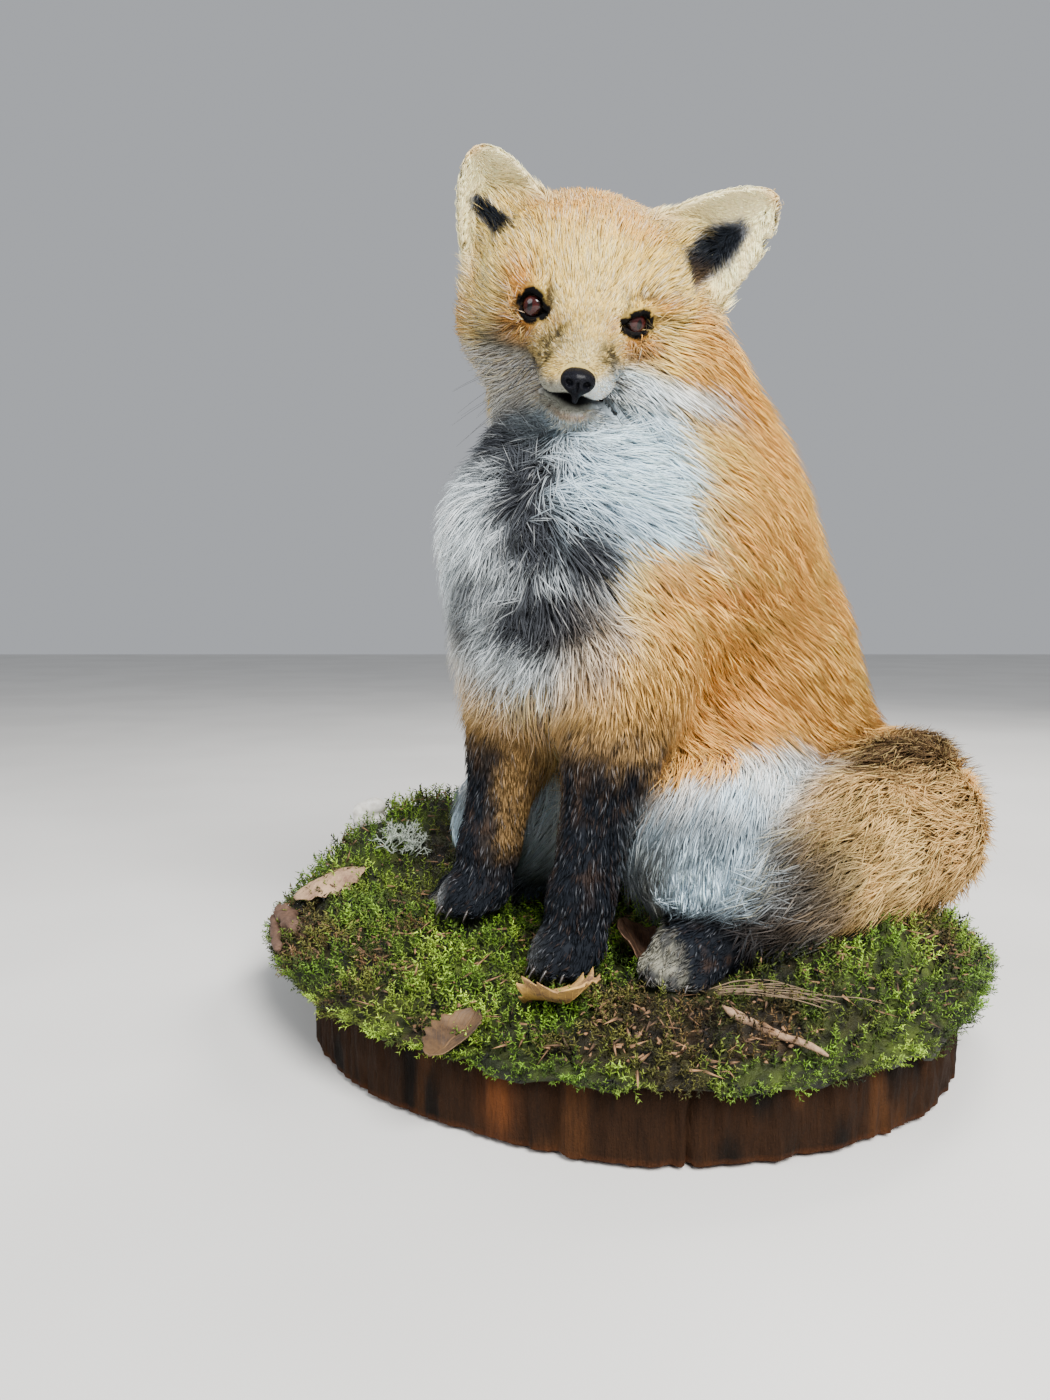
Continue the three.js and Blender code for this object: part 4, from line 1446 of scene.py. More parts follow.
def paint_head(points: Array) -> Array:
    """The colours of the head, in its own frame.

    Args:
        points: World points in millimetres.

    Returns:
        Their linear colours.
    """
    q = to_head(points)
    x, y, z = q.T
    fine = noise(points, 4, 12)
    wobble = noise(points, 9, 13)
    c = np.tile(STRAW, (len(points), 1))
    c = paint(c, ORANGE, 0.75 * step(z + 5 * wobble, 38, 56) * step(np.abs(x), 52, 36))
    c = paint(c, ORANGE, step(y, 30, 62) * 0.85)
    c = paint(c, CREAM, 0.6 * blob(q, (0, -30, 24), (15, 30, 22)))
    c = paint(c, ORANGE, 0.8 * step(np.abs(x) + 4 * wobble, 60, 74) * step(z, 24, 8))
    temples = 0.8 * blob(q, (-50, -14, 14), (14, 24, 14)) + 0.7 * blob(q, (46, -26, 20), (14, 20, 9))
    c = paint(c, CREAM, temples)
    cheeks = 0.8 * blob(q, (52, -34, -10), (14, 24, 12)) + 0.5 * blob(q, (-52, -18, -12), (12, 24, 12))
    c = paint(c, CREAM, cheeks)
    # Painted shade: a dark grey-green patch on the fox's right cheek, the side turned from the key light.
    c = paint(c, SAGE * 0.34, np.clip(1.7 * blob(q, (-42, -30, -31), (22, 40, 23)), 0, 0.95))
    # The white of the cheeks and throat, with painted light and shade: bluish white on the fox's left, the
    # lit side, and darker silver on its right, the shaded side.
    low = step(z + 3 * wobble + 0.12 * np.abs(x) - 8 * step(x, 6, 18), -16, -28) * step(y + 5 * wobble, 30, 8)
    c = paint(c, BLUE_WHITE, low * step(x, -12, 8) * step(x + 0.9 * z + 5 * wobble, 38, 24))
    c = paint(c, SILVER, low * step(x, 8, -12) * 0.8)
    orange_eye = (blob(q, (-40, -36, 15), (9, 18, 12)) + blob(q, (-36, -36, -9), (14, 16, 8))
                  + 1.2 * blob(q, (35, -42, -9), (13, 16, 6)) + 0.7 * blob(q, (42, -32, 15), (16, 14, 6)))
    c = paint(c, ORANGE * 0.86, np.clip(1.6 * orange_eye, 0, 0.95))
    # Painted shade: dark brown lines in the creases round the eyes and brows.
    fold_shade = blob(q, (48, -32, 7), (14, 14, 2.0)) + blob(q, (34, -42, 18), (12, 14, 1.8))
    fold_shade += blob(q, (-21, -48, 12), (2.0, 12, 9)) + blob(q, (-38, -36, -11), (12, 14, 2.0))
    fold_shade += blob(q, (36, -42, -14), (9, 12, 2.0)) + 0.7 * blob(q, (-44, -30, 4), (8, 14, 2.0))
    c = paint(c, BROWN * 0.8, np.clip(1.1 * fold_shade, 0, 0.92))
    brows = 0.7 * blob(q, (17, -52, 13), (5, 12, 6)) + 0.7 * blob(q, (-16, -50, 9), (3, 12, 9))
    c = paint(c, CREAM * 0.95, brows)
    streaks = 0.75 * blob(q, (22, -50, 15), (1.2, 12, 7)) + 0.75 * blob(q, (-19, -50, 9), (1.2, 12, 7))
    c = paint(c, SLATE, streaks)
    c = paint(c, RUST, 0.7 * blob(q, (15, -54, 3), (5, 12, 5)) + 0.55 * blob(q, (-15, -52, 1), (5, 12, 5)))
    c = paint(c, CREAM * 0.9, 0.7 * blob(q, (0, -74, -8), (10, 22, 10)))
    marks = 2.2 * blob(q, (-19, -68, -14), (4, 12, 8)) + 2.2 * blob(q, (-20, -58, -25), (6, 12, 7))
    marks += 1.2 * blob(q, (-10, -68, -3), (9, 10, 7)) + 1.2 * blob(q, (15, -70, -11), (7, 13, 9))
    marks += 1.2 * blob(q, (19, -60, -20), (7, 10, 8)) + 0.5 * blob(q, (4, -62, 6), (12, 10, 6))
    c = paint(c, SAGE * 0.7, 0.55 * blob(q, (0, -70, -12), (24, 20, 16)) * step(z, 2, -6))
    c = paint(c, BLACK * 2.6, np.clip(marks, 0, 1) * np.clip(0.72 + 0.8 * noise(points, 2.6, 14), 0, 0.96))
    lips = step(z, -22, -28) * step(y, -38, -56)
    c = paint(c, WHITE * 0.9, lips * 0.85 * step(x, -6, 8))
    c = paint(c, SAGE, 0.5 * lips * step(x, 18, 8))
    c = paint(c, SAGE * 0.75, lips * 0.85 * step(x, 4, -8))
    c = paint(c, BROWN * 0.5, 0.8 * lips * step(x, -4, -10) * step(noise(points, 2.4, 16), 0.0, 0.5))
    c = paint(c, SAGE * 0.6, 0.9 * step(z, -35, -38) * step(z, -43, -40) * step(y, -46, -58))
    # Black lips along the mouth's line; the slit between them is painted black too, as painted shade inside
    # the mouth.
    c = paint(c, BLACK, step(np.abs(z - mouth_line(x)), 4.6, 3.6) * step(y, -38, -48))
    c = paint(c, RUST * 0.6, 0.6 * blob(q, (5, -78, -44), (14, 10, 1.6)))
    c = paint(c, BLUE_WHITE, step(z, -46, -49) * step(y, -30, -44) * (1 - 0.5 * step(x, -4, -16)))
    # Painted shade: grey and blue-black deep in each ear's hollow.
    for ear in EARS:
        u, v, w = ear.local(points)
        pocket = ear_pocket(ear, u, v) * (x * ear.side > 36) * step(w, 34, 24)
        c = paint(c, GREY, step(pocket + 0.1 * fine, 0.25, 0.5))
        c = paint(c, BLUE_BLACK, step(pocket + 0.1 * fine, 0.42, 0.68))
    c = paint(c, RUST * 0.6, 0.35 * blob(q, (5, -76, -45), (12, 10, 3)))
    for eye in EYES:
        place = eye.local(points)
        beyond = eye.opening(place)
        near = step(lengths(place), 17, 14)
        c = paint(c, BROWN, 0.5 * near * step(beyond, 5.0, 2.6) * step(fine, -0.2, 0.5))
        c = paint(c, BLACK * 0.5, near * step(beyond + 0.15 * fine, 3.3, 2.5) * step(place[:, 2], -1, 1))
    return c


def paint_ears(points: Array) -> Array:
    """The colours of the ears: cream with dark pockets painted as shade in their hollows, and black behind.

    Args:
        points: World points in millimetres.

    Returns:
        Their linear colours.
    """
    c = np.tile(EAR_CREAM, (len(points), 1))
    wobble = noise(points, 5, 15)
    for ear in EARS:
        u, v, w = ear.local(points)
        mine = step(to_head(points)[:, 0] * ear.side, 10, 26)
        middle = ear.middle(u, v)
        front = step(w - middle, -1.0, 0.6)
        # Painted shade: grey and blue-black deep in the ear's hollow.
        pocket = ear_pocket(ear, u, v)
        c = paint(c, GREY, mine * front * step(pocket + 0.12 * wobble, 0.22, 0.5))
        c = paint(c, BLUE_BLACK, mine * front * step(pocket + 0.1 * wobble, 0.42, 0.72))
        c = paint(c, ORANGE, 0.45 * mine * step(v, 0.86, 1.0))
        behind = mine * step(middle - w, 1.0, 2.4) * step(v + 0.08 * wobble, 0.16, 0.42)
        c = paint(c, BLACK * 1.4, behind * step(np.abs(u), 0.92, 0.8) * step(v, 0.97, 0.9))
    return c


PAINTERS: dict[Zone, Callable[[Array], Array]] = {
    Zone.CROWN: paint_head, Zone.FACE: paint_head, Zone.CHEEK: paint_head, Zone.MUZZLE: paint_head,
    Zone.EAR: paint_ears, Zone.THROAT: paint_head, Zone.NECK: paint_trunk, Zone.BIB: paint_trunk,
    Zone.FLANK: paint_trunk, Zone.THIGH: paint_trunk, Zone.UPPER_LEG: paint_legs, Zone.LOWER_LEG: paint_legs,
    Zone.PAW: paint_legs, Zone.TAIL: paint_tail,
}


def markings(points: Array, weights: dict[Zone, Array]) -> Array:
    """The fox's colours at points on its skin or coat.

    Args:
        points: World points in millimetres.
        weights: How much each zone counts at the points.

    Returns:
        Their linear colours.
    """
    total = np.zeros((len(points), 3))
    done: dict[Callable[[Array], Array], Array] = {}
    for zone, painter in PAINTERS.items():
        done[painter] = done.get(painter, 0) + weights[zone]
    q = to_head(points)
    moved = done[paint_trunk] * step(q[:, 1], -4, -22) * step(q[:, 2], -46, -34)
    done[paint_trunk] = done[paint_trunk] - moved
    done[paint_head] = done[paint_head] + moved
    forward, aside, height = to_trunk(points).T
    hind = step(forward, 112, 104) * step(np.abs(aside), 60, 68) * step(height, 136, 122)
    for painter, weight in done.items():
        busy = weight > 0.01
        if busy.any():
            shades = painter(points[busy])
            if painter is paint_legs:
                share = hind[busy][:, None]
                shades = shades * (1 - share) + paint_hind(points[busy]) * share
            total[busy] += shades * weight[busy][:, None]
    return np.clip(total, 0.001, 1.0)


# ---------------------------------------------------------------- the lie of the coat

BACKWARD = -FORWARD


def lie_of_coat(points: Array, weights: dict[Zone, Array]) -> Array:
    """Which way the hair points at each place, before it is laid on the skin.

    Args:
        points: World points in millimetres.
        weights: How much each zone counts at the points.

    Returns:
        One direction for each, of any length.
    """
    q = to_head(points)
    t = to_trunk(points)
    head = q - (NOSE_CENTRE + np.array([0, 6, 4]))
    head[:, 2] *= 1.15
    head = unit(head)
    head[:, 2] += -0.55 * step(q[:, 1], -10, 40) - 0.5 * step(q[:, 2], -8, -32) * step(q[:, 1], -66, -44)
    head[:, 2] += 0.5 * step(q[:, 2], -20, -30) * step(q[:, 2], -38, -34) * step(q[:, 1], -44, -60)
    head[:, 0] += 0.35 * np.sign(q[:, 0]) * step(np.abs(q[:, 0]), 20, 45)
    head_way = unit(head) @ HEAD.T
    for eye in EYES:
        place = eye.local(points)
        near = step(lengths(place), 24, 11)[:, None] * 0.8
        place[:, 2] = 0
        around = unit(place) @ eye.axes().T @ HEAD.T
        head_way = head_way * (1 - near) + around * near
    side = np.sign(t[:, 1])
    sweep = np.maximum(blob(t, (10, 80, 285), (80, 200, 55)), 0.6 * step(t[:, 2], 290, 330))[:, None]
    rear = step(t[:, 0], -20, -70)[:, None]
    trunk_way = BACKWARD * (0.35 + 1.1 * sweep + 0.25 * rear) - UP * (1.0 - 0.35 * sweep)
    trunk_way = trunk_way + LEFTWARD * (0.12 * side)[:, None]
    bib_way = np.zeros_like(points)
    upper = step(t[:, 2], 262, 292)[:, None]
    for place, share in ((WHORL, upper), (SECOND_WHORL, 1 - upper)):
        away = points - place
        rise = away @ UP
        away = away - UP * (rise * np.where(rise > 0, 0.75, 0.35))[:, None]
        far = lengths(away)
        tangle = drift(points, 9, 61) * (0.7 * step(far, 46, 10))[:, None]
        bib_way += share * (unit(away) * (1.2 * np.exp(-far / 90) * step(far, 6, 40))[:, None] + tangle
                            - UP * (0.3 + 0.7 * step(far, 10, 85))[:, None])
    left_sweep = (step(t[:, 1], 22, 60) * step(t[:, 2], 262, 296))[:, None]
    bib_way = bib_way + left_sweep * (BACKWARD * 0.5 + LEFTWARD * 0.3)
    curl = blob(t, (120, 16, 300), (40, 28, 30))[:, None]
    bib_way = bib_way + curl * drift(points, 7, 27) * 0.6
    neck_way = BACKWARD * 0.75 - UP + LEFTWARD * (0.25 * side)[:, None]
    front = step(t[:, 0], 46, 72)[:, None]
    neck_way = neck_way * (1 - front) + bib_way * front
    bib_way = neck_way
    thigh_way = FORWARD * 0.95 - UP + LEFTWARD * (0.1 * side)[:, None]
    high = step(t[:, 2], 168, 200)[:, None]
    thigh_way = thigh_way * (1 - high) + trunk_way * high
    leg_way = FORWARD * 0.1 - UP * np.ones((len(points), 1))
    hind = step(t[:, 2], 116, 100)[:, None] * step(t[:, 0], 104, 92)[:, None]
    leg_way = leg_way * (1 - hind) + (FORWARD - UP * 0.3) * hind
    paw_way = np.tile(FORWARD - UP * 0.45, (len(points), 1))
    curve = np.array([tail_point(s) for s in np.linspace(0, 1, 60)])
    nearest = ((points[:, None, :] - curve[None, ::2]) ** 2).sum(2).argmin(1) * 2
    ahead = np.clip(nearest + 1, 0, 59)
    behind = np.clip(nearest - 1, 0, 59)
    tail_way = unit(curve[ahead] - curve[behind])
    tail_way = tail_way + 0.45 * unit(points - curve[nearest])
    ear_way = np.zeros_like(points)
    for ear in EARS:
        _, columns = ear.axes()
        u, v, w = ear.local(points)
        mine = (q[:, 0] * ear.side > 0)[:, None]
        front = step(w - ear.middle(u, v), -0.6, 1.2)[:, None] * step(np.abs(u), 1.1, 0.9)[:, None]
        upright = unit(columns[:, 1]) @ HEAD.T
        inward = unit(columns[:, 0]) @ HEAD.T
        lift = 0.35 + 0.5 * step(v, 0.3, 0.8)[:, None]
        face = upright * lift - inward * np.clip(u * 1.3, -1, 1)[:, None]
        ear_way += mine * (face * front + upright * (1 - front))
    ways = {
        Zone.EAR: ear_way, Zone.NECK: neck_way, Zone.BIB: bib_way, Zone.FLANK: trunk_way,
        Zone.THIGH: thigh_way, Zone.UPPER_LEG: leg_way, Zone.LOWER_LEG: leg_way, Zone.PAW: paw_way,
        Zone.TAIL: tail_way,
    }
    total = np.zeros_like(points)
    for zone, weight in weights.items():
        total += unit(ways.get(zone, head_way)) * weight[:, None]
    return total


# ---------------------------------------------------------------- the skin

@dataclass
class Skin:
    """The fox's one skin, which lies inside the coat's tips by the coat's depth."""

    spans_x: Spans = ((-190, -142, 5.4), (-142, -98, 2.6), (-98, 22, 1.55), (22, 66, 2.6), (66, 196, 5.4))
    spans_y: Spans = ((-206, -150, 4.8), (-150, -62, 1.5), (-62, 14, 2.8), (14, 166, 5.4))
    spans_z: Spans = ((52, 112, 2.8), (112, 372, 5.2), (372, 386, 2.4), (386, 462, 1.5), (462, 530, 2.4))
    island_gap: float = 0.001
    island_angle: float = math.radians(66)

    def build(self) -> bpy.types.Object:
        """Makes, paints and unwraps the skin.

        Returns:
            The skin.
        """
        grid = [stops(*spans) for spans in (self.spans_x, self.spans_y, self.spans_z)]
        values = grid_values(BODY.distance, *grid, 4)
        points, quads = facet(values, *grid)
        self.points = BODY.settle(points, np.zeros(len(points)), 1.0)
        self.quads = quads
        self.weights = BODY.weights(self.points)
        self.colours = markings(self.points, self.weights)
        piece = mesh_piece("skin", self.points, quads, colours=self.colours * 0.8)
        self.unwrap(piece)
        finish = FurFinish("skin_fur", roughness=0.7, bump=0.5)
        flesh = [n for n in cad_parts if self.is_flesh(n)]
        return settle_piece(piece, finish.build(), flesh)

    @staticmethod
    def is_flesh(node: str) -> bool:
        """Whether a CAD node is of flesh.

        Args:
            node: The node's name.

        Returns:
            Whether it is.
        """
        starts = ("head", "muzzle", "lower_jaw", "ear_", "neck", "chest", "back", "rump", "thigh", "foreleg",
                  "forepaw", "hind_foot", "tail")
        return node.startswith(starts)

    def unwrap(self, piece: bpy.types.Object) -> None:
        """Unwraps the skin by its own shape, and keeps each corner's place on the map.

        Args:
            piece: The piece.
        """
        select_only(piece)
        piece.data.uv_layers.new(name=BAKE_MAP)
        bpy.ops.object.mode_set(mode="EDIT")
        bpy.ops.mesh.select_all(action="SELECT")
        bpy.ops.uv.smart_project(angle_limit=self.island_angle, island_margin=self.island_gap)
        bpy.ops.object.mode_set(mode="OBJECT")
        mesh = piece.data
        places = np.zeros(len(mesh.loops) * 2, np.float32)
        mesh.uv_layers[BAKE_MAP].data.foreach_get("uv", places)
        corners = np.zeros(len(mesh.loops), np.int32)
        mesh.loops.foreach_get("vertex_index", corners)
        self.quads = corners.reshape(-1, 4)
        self.quad_places = places.reshape(-1, 4, 2)


def deselect_all() -> None:
    """Leaves nothing selected."""
    for other in bpy.context.selected_objects:
        other.select_set(False)


def select_only(piece: bpy.types.Object) -> None:
    """Makes one piece the only one selected, and active.

    Args:
        piece: The piece.
    """
    deselect_all()
    bpy.context.view_layer.objects.active = piece
    piece.select_set(True)


# ---------------------------------------------------------------- the coat

@dataclass(frozen=True)
class Region:
    """A piece of the coat: the zones that it covers, how its tufts are cut and how wide its locks are."""

    name: str
    zones: tuple[Zone, ...]
    slot: str
    rings: int
    lock: float


REGIONS = (
    Region("coat_head", (Zone.CROWN, Zone.CHEEK, Zone.THROAT), "head_coat", 1, 6.5),
    Region("coat_face", (Zone.FACE, Zone.MUZZLE), "head_coat", 1, 4),
    Region("coat_ears", (Zone.EAR,), "head_coat", 1, 4),
    Region("coat_neck", (Zone.NECK,), "body_coat", 1, 11),
    Region("coat_bib", (Zone.BIB,), "body_coat", 2, 8),
    Region("coat_flank", (Zone.FLANK,), "body_coat", 1, 12),
    Region("coat_thigh", (Zone.THIGH,), "body_coat", 1, 10),
    Region("coat_legs", (Zone.UPPER_LEG, Zone.LOWER_LEG, Zone.PAW), "leg_coat", 1, 5),
    Region("coat_tail", (Zone.TAIL,), "tail_coat", 1, 10),
)
PIECE_LIMIT = 190000  # triangles
SQUARE_CM = 100.0  # square millimetres


def trimmed(points: Array) -> Array:
    """The share of the coat's length that is left beside the eyes, the nose and the mouth.

    Args:
        points: World points in millimetres.

    Returns:
        From 0 to 1.
    """
    q = to_head(points)
    share = np.ones(len(points))
    for eye in EYES:
        place = eye.local(points)
        near = step(lengths(place), 26, 17) * step(place[:, 2], -4, 1)
        share = np.minimum(share, 1 - near * (1 - (0.28 + 0.72 * step(eye.opening(place), 2, 12))))
    lip = step(np.abs(q[:, 2] - mouth_line(q[:, 0]) - 1), 13, 5) * step(q[:, 1], -36, -50)
    nose = step(lengths(q - NOSE_CENTRE), 19, 11)
    return share * (1 - 0.8 * lip) * (1 - 0.5 * nose)


@dataclass
class Fur:
    """The coat: tufts that grow from the skin, follow its lie and stay inside the coat's depth.

    A few are wild, and stand a little out of it.
    """

    skin: Skin
    seed: int = 11
    patch: float = 0.003
    thick: float = 0.42
    buried: float = 0.8
    gather: float = 0.42
    wild: float = 0.08
    wild_lift: float = 1.22

    def build(self) -> None:
        """Grows each region's tufts."""
        self.rng = np.random.default_rng(self.seed)
        names = list(Zone)
        quads = self.skin.quads
        corners = self.skin.points[quads]
        across = np.cross(corners[:, 2] - corners[:, 0], corners[:, 3] - corners[:, 1])
        area = lengths(across) / 2
        stack = np.stack([self.skin.weights[z] for z in names], 1)[quads].mean(1)
        owner = stack.argmax(1)
        density = stack @ np.array([COATS[z].density for z in names])
        under = step(-unit(across)[:, 2], 0.25, 0.7)
        wanted = area / SQUARE_CM * density * (1 - 0.55 * under)
        finish = FurFinish("coat_fur", roughness=0.75).build()
        for region in REGIONS:
            mine = np.isin(owner, [names.index(z) for z in region.zones])
            self.grow(region, np.flatnonzero(mine), wanted, finish)

    @staticmethod
    def bare(points: Array) -> Array:
        """Where nothing grows: on the lids' edges, in the mouth and under the nose.

        Args:
            points: World points in millimetres.

        Returns:
            Over 0.5 where nothing grows.
        """
        q = to_head(points)
        open_side = step(q[:, 0], 20, -8)
        clear = np.abs(q[:, 2] - mouth_line(q[:, 0]) + 0.3) - 1.2 * open_side - 1.6 * step(q[:, 0], 3, 12)
        amount = step(clear, 3.9, 3.1) * (q[:, 1] < -42)
        amount = np.maximum(amount, lengths((q - NOSE_CENTRE) / np.array([10.5, 9.5, 9.0])) < 1.0)
        for eye in EYES:
            place = eye.local(points)
            lid = (eye.opening(place) < 2.9) & (place[:, 2] > 0) & (lengths(place) < 16)
            amount = np.maximum(amount, lid)
        return amount

    def grow(self, region: Region, faces: Array, wanted: Array, finish: bpy.types.Material) -> None:
        """Scatters roots over some faces and makes their tufts into pieces.

        Args:
            region: The region that they belong to.
            faces: The numbers of the faces.
            wanted: How many tufts each face of the skin takes.
            finish: The material.
        """
        share = wanted[faces]
        count = int(share.sum())
        if not count:
            return
        total = np.cumsum(share)
        picks = (np.arange(count) + self.rng.random(count)) * (total[-1] / count)
        chosen = faces[np.searchsorted(total, picks).clip(0, len(faces) - 1)]
        s, t = self.rng.random((2, count))
        blend = np.stack([(1 - s) * (1 - t), s * (1 - t), s * t, (1 - s) * t], 1)
        quads = self.skin.quads[chosen]
        roots = (self.skin.points[quads] * blend[:, :, None]).sum(1)
        places = (self.skin.quad_places[chosen] * blend[:, :, None]).sum(1)
        kept = self.bare(roots) < 0.5
        roots, places, count = roots[kept], places[kept], int(kept.sum())
        tufts = self.shape(roots, region.rings, region.lock)
        tris = 4 + 6 * region.rings
        pieces = math.ceil(count * tris / PIECE_LIMIT)
        for n in range(pieces):
            some = np.arange(count) % pieces == n if pieces > 1 else np.ones(count, bool)
            name = region.name if pieces == 1 else f"{region.name}_{n + 1}"
            piece = self.piece(name, {k: v[some] for k, v in tufts.items()}, places[some])
            settle_piece(piece, finish)

    def shape(self, roots: Array, rings: int, lock: float) -> dict[str, Array]:
        """Works out each tuft's line, width, height direction and colours.

        Args:
            roots: Where the tufts leave the skin.
            rings: How many times each is bent.
            lock: About how wide the locks are that they gather in.

        Returns:
            The tufts' arrays by name.
        """
        rng = self.rng
        count = len(roots)
        weights = BODY.weights(roots)
        normal = unit(BODY.slope(roots))
        trim = trimmed(roots)
        long = sum(weights[z] * COATS[z].length for z in Zone) * trim
        depth = sum(weights[z] * COATS[z].depth for z in Zone) * (0.4 + 0.6 * trim)
        wave = sum(weights[z] * COATS[z].wave for z in Zone)[:, None]
        centre, chance = locks(roots, lock, 41)
        way = unit(lie_of_coat(roots, weights))
        clump = drift(roots, 16, 21)
        way = (way + clump * wave * 1.3 + rng.normal(size=(count, 3)) * wave * 0.6
               + (chance - 0.5) * wave * 1.8)
        way = unit(way - normal * dots(way, normal)[:, None])
        length = long * rng.uniform(0.7, 1.15, count) * (0.88 + 0.24 * chance[:, 1])
        length *= 1 - 0.4 * weights[Zone.BIB] * chest_dark(to_trunk(roots), np.zeros(count))
        width = sum(weights[z] * COATS[z].width for z in Zone) * rng.uniform(0.65, 1.25, count)
        stand = rng.uniform(0.5, 1.0, count) + 0.1 * noise(roots, 9, 24) + 0.3 * (chance[:, 0] - 0.5)
        stand = np.where(rng.random(count) < self.wild, self.wild_lift, np.clip(stand, 0.35, 1.12))
        pull = centre - roots
        pull = (pull - normal * dots(pull, normal)[:, None]) * self.gather
        line = [roots - normal * self.buried]
        here, slope = roots, normal
        shares = np.linspace(0, 1, rings + 2)[1:]
        bend = rng.normal(size=(count, 3)) * wave
        for n, share in enumerate(shares):
            gap = length / (rings + 1)
            turned = unit(way + bend * share - slope * dots(way, slope)[:, None])
            guess = here + turned * gap[:, None] + slope * (depth * stand * 0.5 / (rings + 1))[:, None]
            guess += pull / (rings + 1)
            height = depth * stand * share**0.7
            here = BODY.settle(guess, height, 12.0, 1)
            slope = unit(BODY.slope(here)) if n < len(shares) - 1 else slope
            line.append(here)
        low = markings(roots, weights)
        far = line[-1] * 0.8 + roots * 0.2
        high = markings(far, BODY.weights(far))
        root, tip = self.tints(roots, far, weights, low, high, rng.random((count, 2)), chance)
        return {"line": np.stack(line, 1), "normal": normal, "width": width, "root": root, "tip": tip}

    def tints(self, roots: Array, tips: Array, weights: dict[Zone, Array], low: Array, high: Array,
              chance: Array, lock: Array) -> tuple[Array, Array]:
        """Root and tip colours: hair that is paler toward its tip, banded and grizzled where the fox's is.

        Args:
            roots: Where the tufts leave the skin.
            tips: Where they end.
            weights: How much each zone counts at the roots.
            low: The markings at the roots.
            high: The markings at the tips.
            chance: Two random values for each tuft.
            lock: Three random values for each tuft's lock.

        Returns:
            The colours of the roots and of the tips.
        """
        t = to_trunk(tips)
        wobble = noise(roots, 6, 33)
        light = 1 + 0.24 * (chance[:, :1] - 0.5) + 0.24 * (lock[:, :1] - 0.5) + 0.08 * wobble[:, None]
        pale = step(high.min(1), 0.35, 0.6)[:, None]
        root, tip = (0.5 * low + 0.5 * high) * light * (0.6 + 0.26 * pale), high * light * 1.12
        trunk = weights[Zone.BIB] + weights[Zone.NECK] + 0.6 * weights[Zone.FLANK]
        chest = np.clip(trunk, 0, 1) * bib_mask(t, np.zeros(len(t)))
        dark = chest_dark(t, wobble)
        warm = (weights[Zone.FLANK] + weights[Zone.NECK] + weights[Zone.THIGH]) * (1 - chest)
        warm = warm * step(high[:, 0] - high[:, 2], 0.12, 0.25)
        tip = paint(tip, PALE_ORANGE * 1.15, warm * 0.65 * (chance[:, 1] < 0.2 + 0.35 * lock[:, 1]))
        root = paint(root, RUST * 0.8, warm * 0.6 * (chance[:, 1] > 0.6))
        root = paint(root, SLATE * 0.8, chest * (0.2 + 0.8 * dark))
        silver = (chance[:, 1] < 0.95 - 0.88 * dark).astype(float)
        tip = paint(tip, SILVER * light, chest * 0.55 * silver * (0.35 + 0.65 * dark))
        tip = paint(tip, SLATE * 0.9, chest * dark * 0.85 * (1 - silver))
        fringe = weights[Zone.TAIL] * (0.06 + 0.8 * tail_fringe(t, wobble))
        tip = paint(tip, BROWN * 0.4, 0.92 * weights[Zone.TAIL] * (chance[:, 1] < fringe))
        bright = step(high[:, 0], 0.12, 0.3)
        tip = paint(tip, CREAM * 0.95, 0.4 * bright * weights[Zone.TAIL] * (chance[:, 1] > 0.8))
        tip = paint(tip, BROWN, 0.35 * weights[Zone.TAIL] * (chance[:, 1] > 0.6) * (chance[:, 1] < 0.66))
        legs = weights[Zone.LOWER_LEG] + weights[Zone.PAW] + 0.8 * weights[Zone.UPPER_LEG]
        tip = paint(tip, GREY, 0.55 * legs * (chance[:, 1] < 0.12))
        tip = paint(tip, BROWN * 1.2, 0.35 * legs * (chance[:, 1] > 0.88))
        tip = paint(tip, BLACK, 0.7 * weights[Zone.UPPER_LEG] * (chance[:, 1] > 0.8))
        face = weights[Zone.FACE] + weights[Zone.CROWN] + weights[Zone.CHEEK] + weights[Zone.MUZZLE]
        face = face * step(high[:, 0], 0.25, 0.5)
        tip = paint(tip, WHITE, 0.4 * face * (chance[:, 1] < 0.25))
        tip = paint(tip, TAN * 0.8, 0.4 * face * (chance[:, 1] > 0.78))
        tip = paint(tip, BROWN, 0.5 * weights[Zone.MUZZLE] * (chance[:, 0] > 0.88))
        tip = paint(tip, CREAM, 0.5 * face * (chance[:, 0] < 0.3))
        root = paint(root, KHAKI * 0.75, 0.5 * face)
        return np.clip(root, 0.002, 1), np.clip(tip, 0.002, 1)

